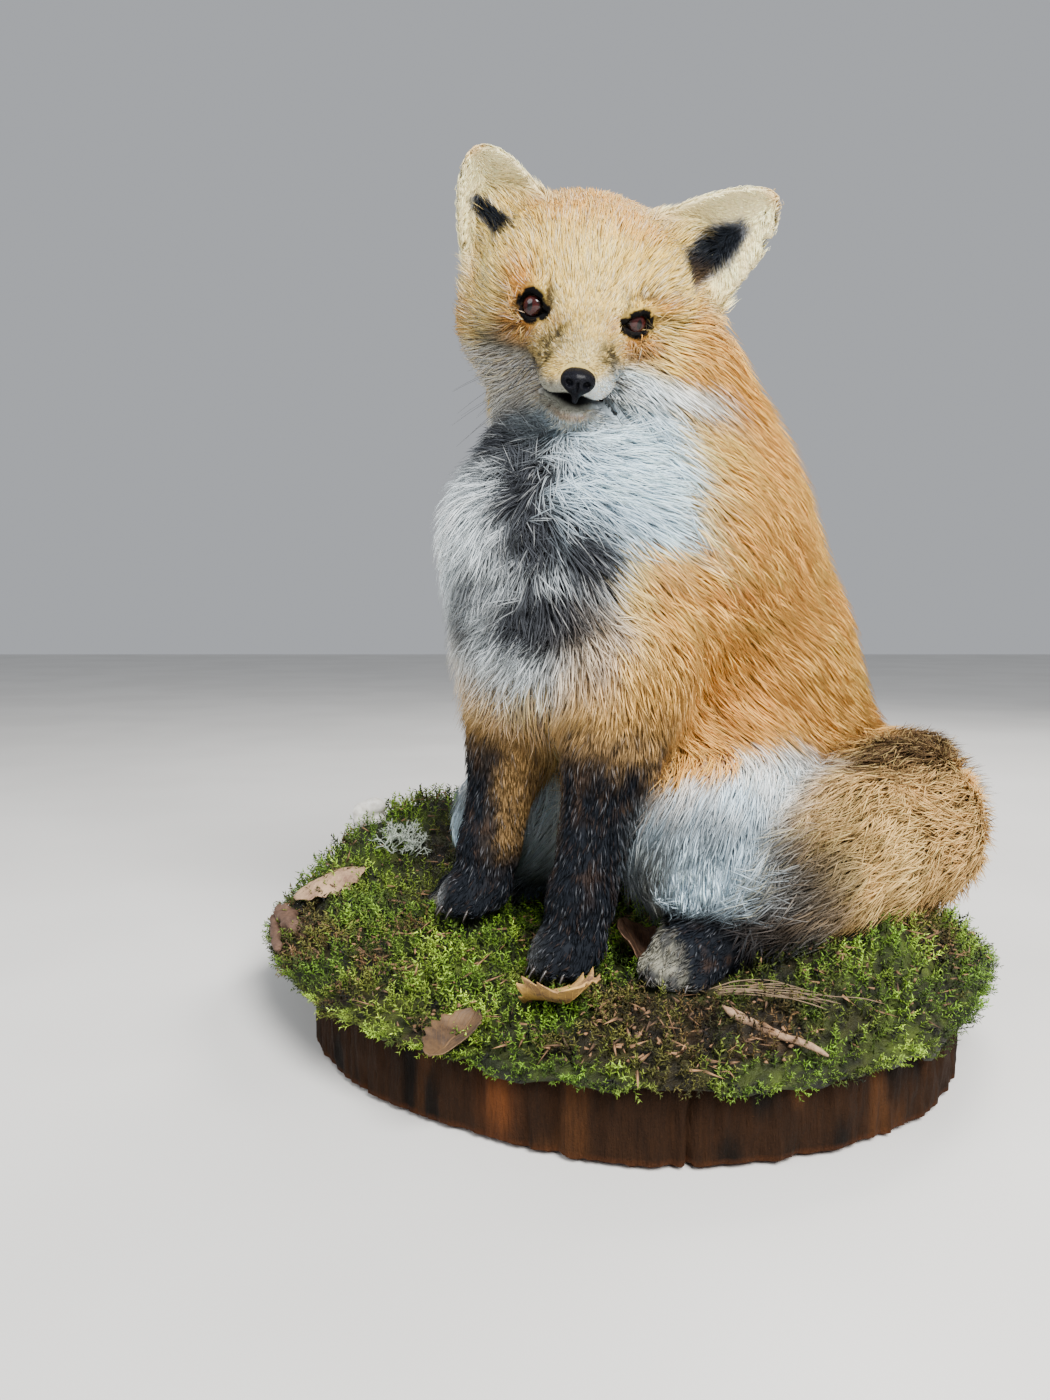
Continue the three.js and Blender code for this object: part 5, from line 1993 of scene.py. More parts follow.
    def piece(self, name: str, tufts: dict[str, Array], places: Array) -> bpy.types.Object:
        """Makes a mesh of closed three-sided tufts.

        Args:
            name: The piece's name.
            tufts: The tufts' arrays by name.
            places: The roots' places on the skin's unwrap.

        Returns:
            The new object.
        """
        line, normal, width = tufts["line"], tufts["normal"], tufts["width"]
        count, stations = line.shape[:2]
        rings = stations - 1
        sizes = {2: (0.75, 1.0), 3: (0.7, 1.0, 0.7)}[rings]
        points, shades, spots = [], [], []
        per = 3 * rings + 1
        for n in range(rings):
            along = unit(line[:, n + 1] - line[:, max(n - 1, 0)] if n else line[:, 1] - line[:, 0])
            side = unit(np.cross(along, normal))
            high = unit(np.cross(side, along))
            half = (width * sizes[n] / 2)[:, None]
            points += [line[:, n] - side * half, line[:, n] + side * half,
                       line[:, n] + high * half * 2 * self.thick]
            share = n / rings
            shade = tufts["root"] * (1 - share) + tufts["tip"] * share
            shades += [shade] * 3
            for k in range(3):
                spots.append(places + np.array([(k - 1) * 0.5, share - 0.5]) * self.patch)
        points.append(line[:, -1])
        shades.append(tufts["tip"])
        spots.append(places + np.array([0, 0.5]) * self.patch)
        pattern = [(0, 1, 2)]
        for n in range(rings - 1):
            a, b, t = 3 * n, 3 * n + 1, 3 * n + 2
            for p, r in ((a, b), (b, t), (t, a)):
                pattern += [(p, p + 3, r + 3), (p, r + 3, r)]
        a, b, t, tip = 3 * rings - 3, 3 * rings - 2, 3 * rings - 1, 3 * rings
        pattern += [(a, tip, b), (b, tip, t), (t, tip, a)]
        faces = (np.arange(count)[:, None, None] * per + np.array(pattern)[None]).reshape(-1, 3)
        flat = [np.stack(values, 1).reshape(count * per, -1) for values in (points, spots, shades)]
        return mesh_piece(name, flat[0], faces, flat[1], flat[2])


# ---------------------------------------------------------------- the face's fittings

def tube(line: Array, radii: Array, sides: int, closed: bool = False) -> tuple[Array, Array]:
    """A tube along a line of points, with its ends closed to points, or joined into a ring.

    Args:
        line: The points that it follows.
        radii: Its radius at each.
        sides: How many sides it has.
        closed: Whether the line is a loop.

    Returns:
        The corners and the triangles.
    """
    count = len(line)
    if closed:
        along = unit(np.roll(line, -1, 0) - np.roll(line, 1, 0))
    else:
        along = unit(np.gradient(line, axis=0))
    guide = np.array([0.31, 0.17, 0.94])
    side = unit(np.cross(along, guide))
    high = np.cross(side, along)
    turn = circle(sides)
    ring = side[:, None] * np.cos(turn)[None, :, None] + high[:, None] * np.sin(turn)[None, :, None]
    points = (line[:, None] + ring * radii[:, None, None]).reshape(-1, 3)
    faces = []
    for i in range(count if closed else count - 1):
        j = (i + 1) % count
        for k in range(sides):
            m = (k + 1) % sides
            a, b, c, d = i * sides + k, i * sides + m, j * sides + m, j * sides + k
            faces += [(a, c, b), (a, d, c)]
    if not closed:
        for end, order in ((0, 1), (count - 1, -1)):
            middle = len(points)
            points = np.concatenate([points, line[end][None]])
            for k in range(sides):
                a, b = end * sides + k, end * sides + (k + 1) % sides
                faces.append((middle, a, b) if order > 0 else (middle, b, a))
    return points, np.array(faces)


def joined(parts: Iterable[tuple[Array, Array]]) -> tuple[Array, Array]:
    """Several meshes' arrays as one.

    Args:
        parts: Each mesh's corners and faces.

    Returns:
        The corners and the faces.
    """
    points, faces, start = [], [], 0
    for some, corners in parts:
        points.append(some)
        faces.append(corners + start)
        start += len(some)
    return np.concatenate(points), np.concatenate(faces)


IRIS_SPAN = 8.0  # how many radians round from the gaze the eye's map is wide


@dataclass
class Eyes:
    """The glass eyes and the dark rims of their lids."""

    segments: int = 56
    rings: int = 40
    rim: float = 0.8
    rim_points: int = 64

    def build(self) -> None:
        """Makes both eyes and their rims."""
        glass = self.glass()
        rim_finish = self.rim_finish()
        for eye in EYES:
            side = "left" if eye.side > 0 else "right"
            ball = self.ball(eye, f"glass_eye_{side}")
            settle_piece(ball, glass, [f"eye_{side}"])
            line = self.rim_line(eye)
            points, faces = tube(line, np.full(len(line), self.rim), 8, closed=True)
            rim = mesh_piece(f"lid_rim_{side}", points, faces)
            settle_piece(rim, rim_finish)

    def ball(self, eye: Eye, name: str) -> bpy.types.Object:
        """A ball whose cornea stands a little proud, mapped by how far round from the gaze.

        Args:
            eye: The eye.
            name: The piece's name.

        Returns:
            The new object.
        """
        bpy.ops.mesh.primitive_uv_sphere_add(segments=self.segments, ring_count=self.rings, radius=1.0)
        piece = bpy.context.object
        piece.name = name
        piece.data.name = name
        mesh = piece.data
        co = np.zeros(len(mesh.vertices) * 3, np.float32)
        mesh.vertices.foreach_get("co", co)
        co = co.reshape(-1, 3).astype(float)
        proud = 1 + 0.045 * step(co[:, 2], 0.72, 0.96)
        out, up, gaze = eye.axes().T
        right_handed = math.copysign(1.0, np.cross(out, up) @ gaze)
        turned = co[:, :1] * (out * right_handed) + co[:, 1:2] * up + co[:, 2:] * gaze
        world = from_head(eye.centre + turned * (eye.radius * proud)[:, None])
        mesh.vertices.foreach_set("co", (world * MM).astype(np.float32).ravel())
        level = np.cross([0.0, 0.0, 1.0], gaze)
        level /= np.linalg.norm(level)
        upright = np.cross(gaze, level)
        flat = np.stack([turned @ level, turned @ upright], 1)
        flat *= (np.arccos(np.clip(co[:, 2], -1, 1)) / np.maximum(lengths(flat), 1e-6))[:, None]
        corners = np.zeros(len(mesh.loops), np.int32)
        mesh.loops.foreach_get("vertex_index", corners)
        layer = mesh.uv_layers.active or mesh.uv_layers.new()
        layer.name = "Iris"
        layer.data.foreach_set("uv", (flat[corners] / IRIS_SPAN + 0.5).astype(np.float32).ravel())
        mesh.polygons.foreach_set("use_smooth", np.ones(len(mesh.polygons), bool))
        mesh.update()
        return piece

    def rim_line(self, eye: Eye) -> Array:
        """The line that the rim follows, on the ball and then along the tear duct.

        Args:
            eye: The eye.

        Returns:
            World points.
        """
        edge = eye.outline(self.rim_points)
        reach = lengths(edge)
        radius = eye.radius + 0.35
        out = np.sqrt(np.clip(radius**2 - np.minimum(reach, 7.6) ** 2, 0, None))
        place = np.stack([edge[:, 0], edge[:, 1], out], 1) @ eye.axes().T
        return from_head(eye.centre + place)

    def glass(self) -> bpy.types.Material:
        """Glass over a reddish-brown iris with a dark pupil.

        Returns:
            The material.
        """
        s = Shader("eye_glass")
        spot = s.unwrap("Iris")
        centred = s.node("ShaderNodeVectorMath", {"operation": "SUBTRACT"}, {0: spot, 1: (0.5, 0.5, 0)})
        scaled = s.node("ShaderNodeVectorMath", {"operation": "MULTIPLY"}, {0: centred, 1: (IRIS_SPAN,) * 3})
        far = s.node("ShaderNodeVectorMath", {"operation": "LENGTH"}, {0: scaled}, "Value")
        narrow = s.node("ShaderNodeVectorMath", {"operation": "MULTIPLY"}, {0: scaled, 1: (1.75, 1.0, 1)})
        pupil = s.node("ShaderNodeVectorMath", {"operation": "LENGTH"}, {0: narrow}, "Value")
        direction = s.node("ShaderNodeVectorMath", {"operation": "NORMALIZE"}, {0: scaled})
        streaks = s.noise(9.0, 4, 0.6, direction)
        rings_ = s.noise(6.0, 2, 0.5, scaled)
        iris = s.ramp(streaks * 0.7 + rings_ * 0.3, (
            (0.25, linear(0.07, 0.015, 0.012)), (0.5, linear(0.18, 0.042, 0.032)),
            (0.75, linear(0.30, 0.08, 0.055))))
        dark = far.between(0.5, 0.74)
        colour = s.mix(dark, iris, linear(0.03, 0.015, 0.015))
        colour = s.mix(1 - pupil.between(0.26, 0.36), colour, linear(0.012, 0.006, 0.006))
        wet = 0.8 - far.between(0.6, 0.85) * 0.7
        return s.dress(Base_Color=colour, Roughness=0.4, Coat_Weight=wet, Coat_Roughness=0.015,
                       Specular_IOR_Level=0.05)

    @staticmethod
    def rim_finish() -> bpy.types.Material:
        """Black, slightly moist skin.

        Returns:
            The material.
        """
        s = Shader("lid_skin")
        tone = s.noise(1100.0, 3)
        colour = s.ramp(tone, ((0.3, linear(0.02, 0.018, 0.02)), (0.75, linear(0.07, 0.055, 0.055))))
        bump = s.bump(s.noise(1800.0, 4), 0.5, 0.0004)
        return s.dress(Base_Color=colour, Roughness=0.72, Specular_IOR_Level=0.1, Normal=bump)


@dataclass
class Nose:
    """The leathery pad of the nose, with its nostrils and the cleft under it."""

    halves: tuple[float, float, float] = (9.3, 8.2, 6.8)
    cell: float = 0.62
    reach: float = 15.0

    def distance(self, p: Array) -> Array:
        """How far points are outside the nose, in its own frame.

        Args:
            p: Points from the nose's centre.

        Returns:
            The distances, negative inside.
        """
        x, y, z = p.T
        narrow = 1 - 0.34 * step(z, 0, -8) - 0.06 * step(z, 3, 8)
        hx, hy, hz = self.halves
        flat = np.abs(np.stack([x / (hx * narrow), y / hy, z / hz], 1))
        size = (flat[:, 0] ** 2.5 + flat[:, 1] ** 2.1 + flat[:, 2] ** 2.4) ** (1 / 2.3)
        d = (size - 1) * min(self.halves)
        for s in BOTH_SIDES:
            hole = lengths((p - np.array([s * 4.7, -8.2, 0.2])) / np.array([2.3, 4.2, 2.0])) - 1
            d = smooth_max(d, -hole * 2.2, 1.0)
            start, end = np.array([s * 5.6, -7.6, -0.6]), np.array([s * 10.4, -2.0, -2.6])
            run = end - start
            share = np.clip((p - start) @ run / (run @ run), 0, 1)
            slot = lengths(p - start - share[:, None] * run) - (1.2 - 0.4 * share)
            d = smooth_max(d, -slot, 0.9)
        groove = np.maximum(np.abs(x) - 0.55, np.maximum(z - 1.5, -(size - 1) * 8 - 1.5))
        d = smooth_max(d, -groove, 0.9)
        past_ends = np.clip(z + 9.0, None, 0) + np.clip(z + 5, 0, None)
        stem = lengths(np.stack([x, y + 3.6, past_ends], 1)) - 1.7
        d = smooth_min(d, stem, 2.5)
        ripple = 0.10 * noise(p, 1.5, 31) + 0.08 * noise(p, 0.8, 32)
        return d + ripple

    def build(self) -> None:
        """Makes the nose."""
        places = stops((-self.reach, self.reach, self.cell))
        values = grid_values(self.distance, places, places, places, 3)
        points, quads = facet(values, places, places, places)
        piece = mesh_piece("nose_pad", from_head(points + NOSE_CENTRE), quads)
        settle_piece(piece, self.finish(), ["nose"])

    @staticmethod
    def finish() -> bpy.types.Material:
        """Pebbled black leather.

        Returns:
            The material.
        """
        s = Shader("nose_leather")
        pebbles = s.cells(1250.0)
        tone = s.noise(500.0, 3)
        colour = s.ramp(tone * 0.6 + pebbles * 0.5, (
            (0.2, linear(0.005, 0.008, 0.02)), (0.8, linear(0.04, 0.045, 0.08))))
        return s.dress(Base_Color=colour, Roughness=0.55 + tone * 0.2, Specular_IOR_Level=0.08,
                       Coat_Weight=0.12, Coat_Roughness=0.3, Normal=s.bump(pebbles, 0.9, 0.0009))


AHEAD_OF_MUZZLE = -112.0  # a place before the muzzle, along the head's frame
SEARCH_ROUNDS = 70  # enough steps to walk from there to the skin


@dataclass
class Lips:
    """The dark edge of the mouth."""

    span: tuple[float, float] = (-19.5, 19.0)
    stations: int = 40

    def build(self) -> None:
        """Makes the upper and lower lips' edges, joined as one piece."""
        x = np.linspace(*self.span, self.stations)
        parts = []
        for lift, radius in ((2.1, 1.7), (-2.4, 1.3)):
            end = np.abs(np.linspace(-1, 1, len(x)))
            height = mouth_line(x) + lift * (0.75 + 0.5 * step(x, 12, -8)) * (1 - 0.85 * end**3)
            world = self.front(x, height)
            radii = radius * np.sqrt(np.clip(1.02 - end**4, 0.02, 1))
            parts.append(tube(world, radii, 7))
        piece = mesh_piece("lips", *joined(parts))
        settle_piece(piece, Eyes.rim_finish())

    @staticmethod
    def front(x: Array, z: Array) -> Array:
        """The foremost points of the muzzle at places across it and up it, in the head's frame.

        Args:
            x: Places across.
            z: Places up.

        Returns:
            World points.
        """
        y = np.full(len(x), AHEAD_OF_MUZZLE)
        for _ in range(SEARCH_ROUNDS):
            y += np.clip(BODY.distance(from_head(np.stack([x, y, z], 1))) * 0.6, -1, 4)
        y = np.convolve(np.pad(y, 2, mode="edge"), np.ones(5) / 5, mode="valid") - 1.0 - 1.8 * step(x, 3, 12)
        return from_head(np.stack([x, y, z], 1))


@dataclass
class Whiskers:
    """Long dark bristles from the sides of the muzzle and the brows."""

    count: int = 11
    stations: int = 10
    seed: int = 5

    def build(self) -> None:
        """Makes all the whiskers as one piece."""
        rng = np.random.default_rng(self.seed)
        parts = []
        for s in BOTH_SIDES:
            for n in range(self.count):
                row, spot = n % 3, n // 3
                root = np.array([s * (12.5 + 1.5 * spot), -77 + 5 * spot + row,
                                 -20 - 4 * row + rng.normal() * 0.6])
                way = np.array([s * 1.0, 0.30 + 0.12 * spot + rng.normal() * 0.06,
                                -0.15 - 0.28 * row + rng.normal() * 0.1])
                long = rng.uniform(34, 66)
                way /= np.linalg.norm(way)
                share = np.linspace(0, 1, self.stations)
                droop = np.array([0, 0.12, -0.42])
                q = root + way * (share * long)[:, None]
                q = q + droop * (share**2 * long * rng.uniform(0.5, 1.2))[:, None]
                parts.append(tube(from_head(q), 0.3 * (1 - 0.85 * share), 4))
            for n in range(3):
                root = np.array([s * (22 + 4 * n), -45 + 2 * n, 14.0])
                way = np.array([s * 0.25, -0.35, 0.9])
                share = np.linspace(0, 1, self.stations)
                q = root + way * (share * 17)[:, None] + np.array([s * 0.3, 0.6, 0]) * (share**2 * 8)[:, None]
                parts.append(tube(from_head(q), 0.2 * (1 - 0.8 * share), 4))
        piece = mesh_piece("whiskers", *joined(parts))
        s = Shader("whisker")
        colour = s.ramp(s.noise(300.0, 2), ((0.3, linear(0.05, 0.05, 0.05)), (0.8, linear(0.16, 0.14, 0.13))))
        settle_piece(piece, s.dress(Base_Color=colour, Roughness=0.35))


@dataclass
class Claws:
    """Four dark claws to each paw."""

    long: float = 8.0
    radius: float = 1.5
    stations: int = 8

    def build(self) -> None:
        """Makes all the claws as one piece."""
        parts = []
        share = np.linspace(0, 1, self.stations)
        for s in BOTH_SIDES:
            for limbs in (foreleg_limbs(s), hind_foot_limbs(s)):
                for toe in limbs[-4:]:
                    run = toe.end - toe.start
                    ahead = run / np.linalg.norm(run)
                    root = toe.end + ahead * 3.5 + UP * 1.4
                    line = root + ahead * (share * self.long)[:, None] - UP * (4.6 * share**2)[:, None]
                    radii = self.radius * (1 - share**1.6 * 0.86)
                    parts.append(tube(line, radii, 7))
        piece = mesh_piece("claws", *joined(parts))
        s = Shader("claw_horn")
        tone = s.noise(90.0, 3, 0.6, s.place((1, 1, 4)))
        colour = s.ramp(tone, ((0.3, linear(0.06, 0.05, 0.045)), (0.7, linear(0.19, 0.16, 0.14))))
        bump = s.bump(s.noise(700.0, 2), 0.3, 0.0004)
        settle_piece(piece, s.dress(Base_Color=colour, Roughness=0.33, Normal=bump))


# ---------------------------------------------------------------- the log slice

SLAB_RADIUS = 204.0
SLAB_HEIGHT = 44.0
MOSS_OVERHANG = 3.0
MOSS_DEPTH = 18.0
OVERHANGS = ((150, 36, 44), (2, 24, 24))  # angle and width in degrees, and how far the moss hangs out
MOUNDS = ((-160, 112, 54, 60), (-60, 140, 36, 50), (-96, -46, 18, 30), (70, 120, 22, 50), (130, -74, 30, 56),
          (60, -150, 4, 28), (112, -112, 15, 30))  # place, height and width
CRACK_ANGLE = math.radians(-87.7)


def slab_reach(angle: Array) -> Array:
    """How far the log's side is from its centre."""
    return SLAB_RADIUS * (1 + 0.02 * np.sin(3 * angle - 1.2) + 0.008 * np.sin(7 * angle + 0.6))


def moss_reach(angle: Array) -> Array:
    """How far the mat of moss goes out from the slab's centre.

    Args:
        angle: Angles round the slab.

    Returns:
        The distances.
    """
    total = slab_reach(angle) + MOSS_OVERHANG
    for centre, wide, far in OVERHANGS:
        off = angle - math.radians(centre)
        off = np.arctan2(np.sin(off), np.cos(off))
        total = total + far * np.exp(-((off / math.radians(wide)) ** 2))
    return total


def moss_height(x: Array, y: Array) -> Array:
    """The top of the mat of moss.

    Args:
        x: Places along x.
        y: Places along y.

    Returns:
        The heights.
    """
    swell = 0.0
    for mx, my, tall, wide in MOUNDS:
        swell = swell + tall * np.exp(-((x - mx) ** 2 + (y - my) ** 2) / (2 * wide**2))
    lumps = 2.2 * np.sin(x / 11 + 1) * np.sin(y / 13) + 1.6 * np.sin(x / 23 - y / 17)
    edge = np.hypot(x, y) / moss_reach(np.arctan2(y, x))
    thin = 1 - 0.75 * step(edge, 0.82, 1.02)
    return SLAB_HEIGHT + (MOSS_DEPTH + swell + lumps) * thin


def moss_top(x: float, y: float) -> float:
    """The top of the moss at one place."""
    return float(moss_height(np.array(x), np.array(y)))


def wheel(rings: Array) -> tuple[Array, Array]:
    """The points and quads of rings of points, one inside or over the next, with both ends closed.

    Args:
        rings: Rings with as many points each.

    Returns:
        The corners and the triangles.
    """
    count, around = rings.shape[:2]
    points = np.concatenate([rings.reshape(-1, 3), rings[0].mean(0)[None], rings[-1].mean(0)[None]])
    i, j = np.meshgrid(np.arange(count - 1), np.arange(around), indexing="ij")
    m = (j + 1) % around
    a, b, c, d = i * around + j, i * around + m, (i + 1) * around + m, (i + 1) * around + j
    a, b, c, d = a.ravel(), b.ravel(), c.ravel(), d.ravel()
    sides = np.concatenate([np.stack([a, b, c], 1), np.stack([a, c, d], 1)])
    k = np.arange(around)
    start, end = np.full(around, count * around), np.full(around, count * around + 1)
    first = np.stack([start, (k + 1) % around, k], 1)
    last = (count - 1) * around
    final = np.stack([end, last + k, last + (k + 1) % around], 1)
    return points, np.concatenate([sides, first, final])


@dataclass
class Slab:
    """The slice of log: its rough dark side with one crack, and its flat faces."""

    around: int = 700
    rows: int = 15
    crack_depth: float = 7.0

    def build(self) -> None:
        """Makes the slice."""
        angle = circle(self.around)
        reach = slab_reach(angle)
        rings = []
        flat = spokes(angle)
        heights = np.linspace(0, 1, self.rows)
        for share in (0.0, 0.5, 0.9):
            rings.append(raised(flat * (reach * max(share, 0.02) * 0.96)[:, None], 0.0))
        for h in heights:
            z = SLAB_HEIGHT * h
            spot = raised(flat * reach[:, None], z * 0.16)
            bark = 1.5 * noise(spot, 4.2, 41) + 1.1 * noise(spot, 11, 42) + 0.7 * noise(spot, 1.9, 43)
            bark -= 2.0 * np.clip(noise(spot, 7.0, 44) - 0.35, 0, 1) * 2
            fine = raised(flat * reach[:, None], z)
            bark += 0.5 * noise(fine, 5.0, 45) + 0.3 * noise(fine, 2.2, 46)
            off = np.arctan2(np.sin(angle - CRACK_ANGLE), np.cos(angle - CRACK_ANGLE)) * SLAB_RADIUS
            off = off + 1.5 * math.sin(h * 5.0)
            bark -= self.crack_depth * np.exp(-np.abs(off / 1.7) ** 1.6)
            edge = 5.5 * (np.clip(0.09 - h, 0, 1) / 0.09) ** 2 + 5.0 * (np.clip(h - 0.93, 0, 1) / 0.07) ** 2
            rings.append(raised(flat * (reach - 3.2 + bark - edge)[:, None], z))
        for share in (0.85, 0.5, 0.02):
            rings.append(raised(flat * (reach * share)[:, None], SLAB_HEIGHT))
        points, faces = wheel(np.stack(rings))
        girth = np.arctan2(points[:, 1], points[:, 0]) * SLAB_RADIUS
        unwrap = np.stack([girth, points[:, 2]], 1) * MM
        piece = mesh_piece("log_slice", points, faces, unwrap, self.shades(points), uv_name="Bark")
        settle_piece(piece, self.finish(), ["base_slab"])

    @staticmethod
    def shades(points: Array) -> Array:
        """Broad colours of the side: almost black, with a warmer, paler spot on the front and a paler bottom
        edge.

        Args:
            points: World points in millimetres.

        Returns:
            Their linear colours.
        """
        spot = points * np.array([1, 1, 0.3])
        c = np.tile(linear(0.155, 0.09, 0.038), (len(points), 1))
        c = paint(c, linear(0.06, 0.036, 0.018), step(noise(spot, 14, 51), 0.0, 0.6))
        c = paint(c, linear(0.27, 0.165, 0.08), 0.8 * step(noise(spot, 15, 52), 0.2, 0.7))
        # Paler and warmer at one spot on the front and along the bottom edge.
        paler_places = blob(points, (-84, -184, 22), (8, 12, 16)) + 0.6 * step(points[:, 2], 5, 1.5)
        return paint(c, linear(0.50, 0.29, 0.15), 0.7 * paler_places)

    @staticmethod
    def finish() -> bpy.types.Material:
        """Old dark bark and wood, with upright grain.

        Returns:
            The material.
        """
        s = Shader("log_bark")
        spot = s.unwrap("Bark")
        upright = s.node("ShaderNodeMapping", {}, {"Vector": spot, "Scale": (1.0, 0.13, 1.0)})
        grain = s.noise(420.0, 5, 0.65, upright)
        coarse = s.noise(130.0, 4, 0.6, upright)
        speck = s.noise(900.0, 2)
        tone = grain * 1.1 + coarse * 0.8 - 0.1
        colour = s.own_colour(tone, (1, 0.97, 0.93))
        colour = s.mix((speck.between(0.62, 0.8)) * 0.2, colour, linear(0.34, 0.22, 0.12))
        height = grain * 0.9 + coarse * 0.6 + speck * 0.2
        return s.dress(Base_Color=colour, Roughness=0.85, Specular_IOR_Level=0.12,
                       Normal=s.bump(height, 1.0, 0.0035))


# ---------------------------------------------------------------- the moss and its litter

GOLDEN_ANGLE = math.pi * (3 - math.sqrt(5))
MOSS_BRIGHT = linear(0.66, 0.80, 0.26)
MOSS_GREEN = linear(0.40, 0.54, 0.15)
MOSS_DARK = linear(0.14, 0.22, 0.07)
MOSS_BROWN = linear(0.36, 0.27, 0.16)


@dataclass
class Moss:
    """A mat of moss, and the sprigs that stand on it."""

    around: int = 260
    rings: int = 60
    sprigs: int = 8800
    leaflets: int = 6
    seed: int = 3
    rim_share: float = 0.985

    def build(self) -> None:
        """Makes the mat and then its sprigs."""
        angle = circle(self.around)
        reach = moss_reach(angle)
        flat = spokes(angle)
        rings = []
        shares = np.linspace(0.02, 1, self.rings) ** 0.8
        for share in shares:
            xy = flat * (reach * share)[:, None]
            rings.append(raised(xy, self.top(xy)))
        lip = rings[-1].copy()
        hang = self.hang(angle)
        low = raised(flat * (reach - 1.0)[:, None], SLAB_HEIGHT - hang)
        under = raised(flat * (slab_reach(angle) - 1.5)[:, None], SLAB_HEIGHT - hang * 0.8)
        inner = raised(flat * (slab_reach(angle) - 6)[:, None], SLAB_HEIGHT)
        rings += [(lip + low) / 2 + raised(flat * 1.5, 0.0), low, under, inner]
        stack = np.stack(rings)[::-1]
        points, faces = wheel(stack)
        points = points + (drift(points, 7, 61) + 0.8 * drift(points, 3.2, 66)) * 1.2
        points[:, 2] = np.maximum(points[:, 2], 4)
        # Painted shade: the mat under the sprigs is a dark copy of the moss's colour, darker still in
        # scattered gaps, standing in for the shade between the sprigs.
        gap = step(noise(points, 3.4, 69) + 0.6 * noise(points, 7, 70), -0.5, 0.7)[:, None]
        colours = (self.shades(points) * 0.15 + MOSS_BROWN * 0.09) * (0.25 + 0.9 * gap)
        piece = mesh_piece("moss_mat", points, faces, colours=colours)
        finish = self.finish()
        settle_piece(piece, finish, ["moss"])
        self.grow(finish)

    @staticmethod
    def hang(angle: Array) -> Array:
        """How far the mat hangs down over the slab's side."""
        spot = raised(spokes(angle) * 200, 0.0)
        return 1.5 + 5 * step(noise(spot, 26, 64), -0.1, 0.8) + 3 * step(noise(spot, 13, 65), 0.2, 0.8)

    @staticmethod
    def top(xy: Array) -> Array:
        """The mat's top with its small lumps."""
        spot = raised(xy, 0.0)
        return moss_height(*xy.T) - 4.5 + 1.6 * noise(spot, 9, 66) + 2.4 * noise(spot, 22, 67)

    @staticmethod
    def shades(points: Array) -> Array:
        """The moss's colours from place to place.

        Args:
            points: World points in millimetres.

        Returns:
            Their linear colours.
        """
        c = np.tile(MOSS_GREEN, (len(points), 1))
        c = paint(c, MOSS_BRIGHT, 0.8 * step(noise(points, 24, 71), -0.1, 0.6))
        c = paint(c, MOSS_DARK, 0.8 * step(noise(points, 19, 72), 0.1, 0.7))
        brown = step(noise(points, 26, 73) + 0.35 * noise(points, 9, 74), 0.28, 0.62)
        brown = np.maximum(brown, 0.8 * step(noise(points, 60, 75), 0.3, 0.8))
        front = blob(points, (60, -168, 60), (50, 26, 40)) * step(noise(points, 12, 76), -0.4, 0.5)
        rim = blob(points, (-165, -95, 50), (60, 60, 40)) + blob(points, (-205, 20, 50), (30, 60, 40))
        rim *= step(noise(points, 12, 78), -0.3, 0.5)
        c = paint(c, MOSS_BROWN, np.clip(0.75 * brown + 0.8 * front + 0.8 * rim, 0, 1))
        shadow = step(noise(points, 11, 79) + 0.5 * noise(points, 5, 80), -0.7, 0.4)[:, None]
        return c * (0.45 + 0.75 * shadow)

    def grow(self, finish: bpy.types.Material) -> None:
        """Scatters sprigs over the mat, where the fox isn't.

        Args:
            finish: The material.
        """
        rng = np.random.default_rng(self.seed)
        tries = int(self.sprigs * 1.8)
        order = rng.permutation(tries)
        angle = (order * GOLDEN_ANGLE + rng.uniform(-0.01, 0.01, tries)) % (2 * math.pi)
        share = np.sqrt((order + 0.5) / tries * 1.14)
        flat = spokes(angle)
        xy = flat * (moss_reach(angle) * np.minimum(share, 1))[:, None]
        z = self.top(xy)
        over = share > self.rim_share
        z = np.where(over, SLAB_HEIGHT + (z - SLAB_HEIGHT + self.hang(angle)) * rng.random(tries)
                     - self.hang(angle), z)
        roots = raised(xy, z)
        free = BODY.distance(roots + UP * 6, 60) > 3.0
        roots, over, flat = roots[free][:self.sprigs], over[free][:self.sprigs], flat[free][:self.sprigs]
        count = len(roots)
        outward = raised(flat, 0.0)
        edge = lengths(roots[:, :2]) / moss_reach(np.arctan2(roots[:, 1], roots[:, 0]))
        lean = outward * (0.25 + 0.8 * step(edge, 0.9, 1.0))[:, None]
        lean = lean + UP * (1 - 0.35 * step(edge, 0.93, 1.0))[:, None]
        way = unit(lean + rng.normal(size=(count, 3)) * 0.42)
        long = rng.uniform(6.5, 14, count) * (1 + 0.25 * noise(roots, 30, 77))
        long = long * (1 - 0.4 * step(edge, 0.95, 1.0))
        shade = self.shades(roots) * (0.95 + 0.5 * rng.normal(size=(count, 1)))
        shade = np.clip(shade, 0.004, 1)
        half = count // 2
        for n, some in enumerate((slice(0, half), slice(half, None))):
            points, faces, colours = self.sprig_mesh(roots[some], way[some], long[some], shade[some], rng)
            piece = mesh_piece(f"moss_sprigs_{n + 1}", points, faces, colours=colours)
            settle_piece(piece, finish)

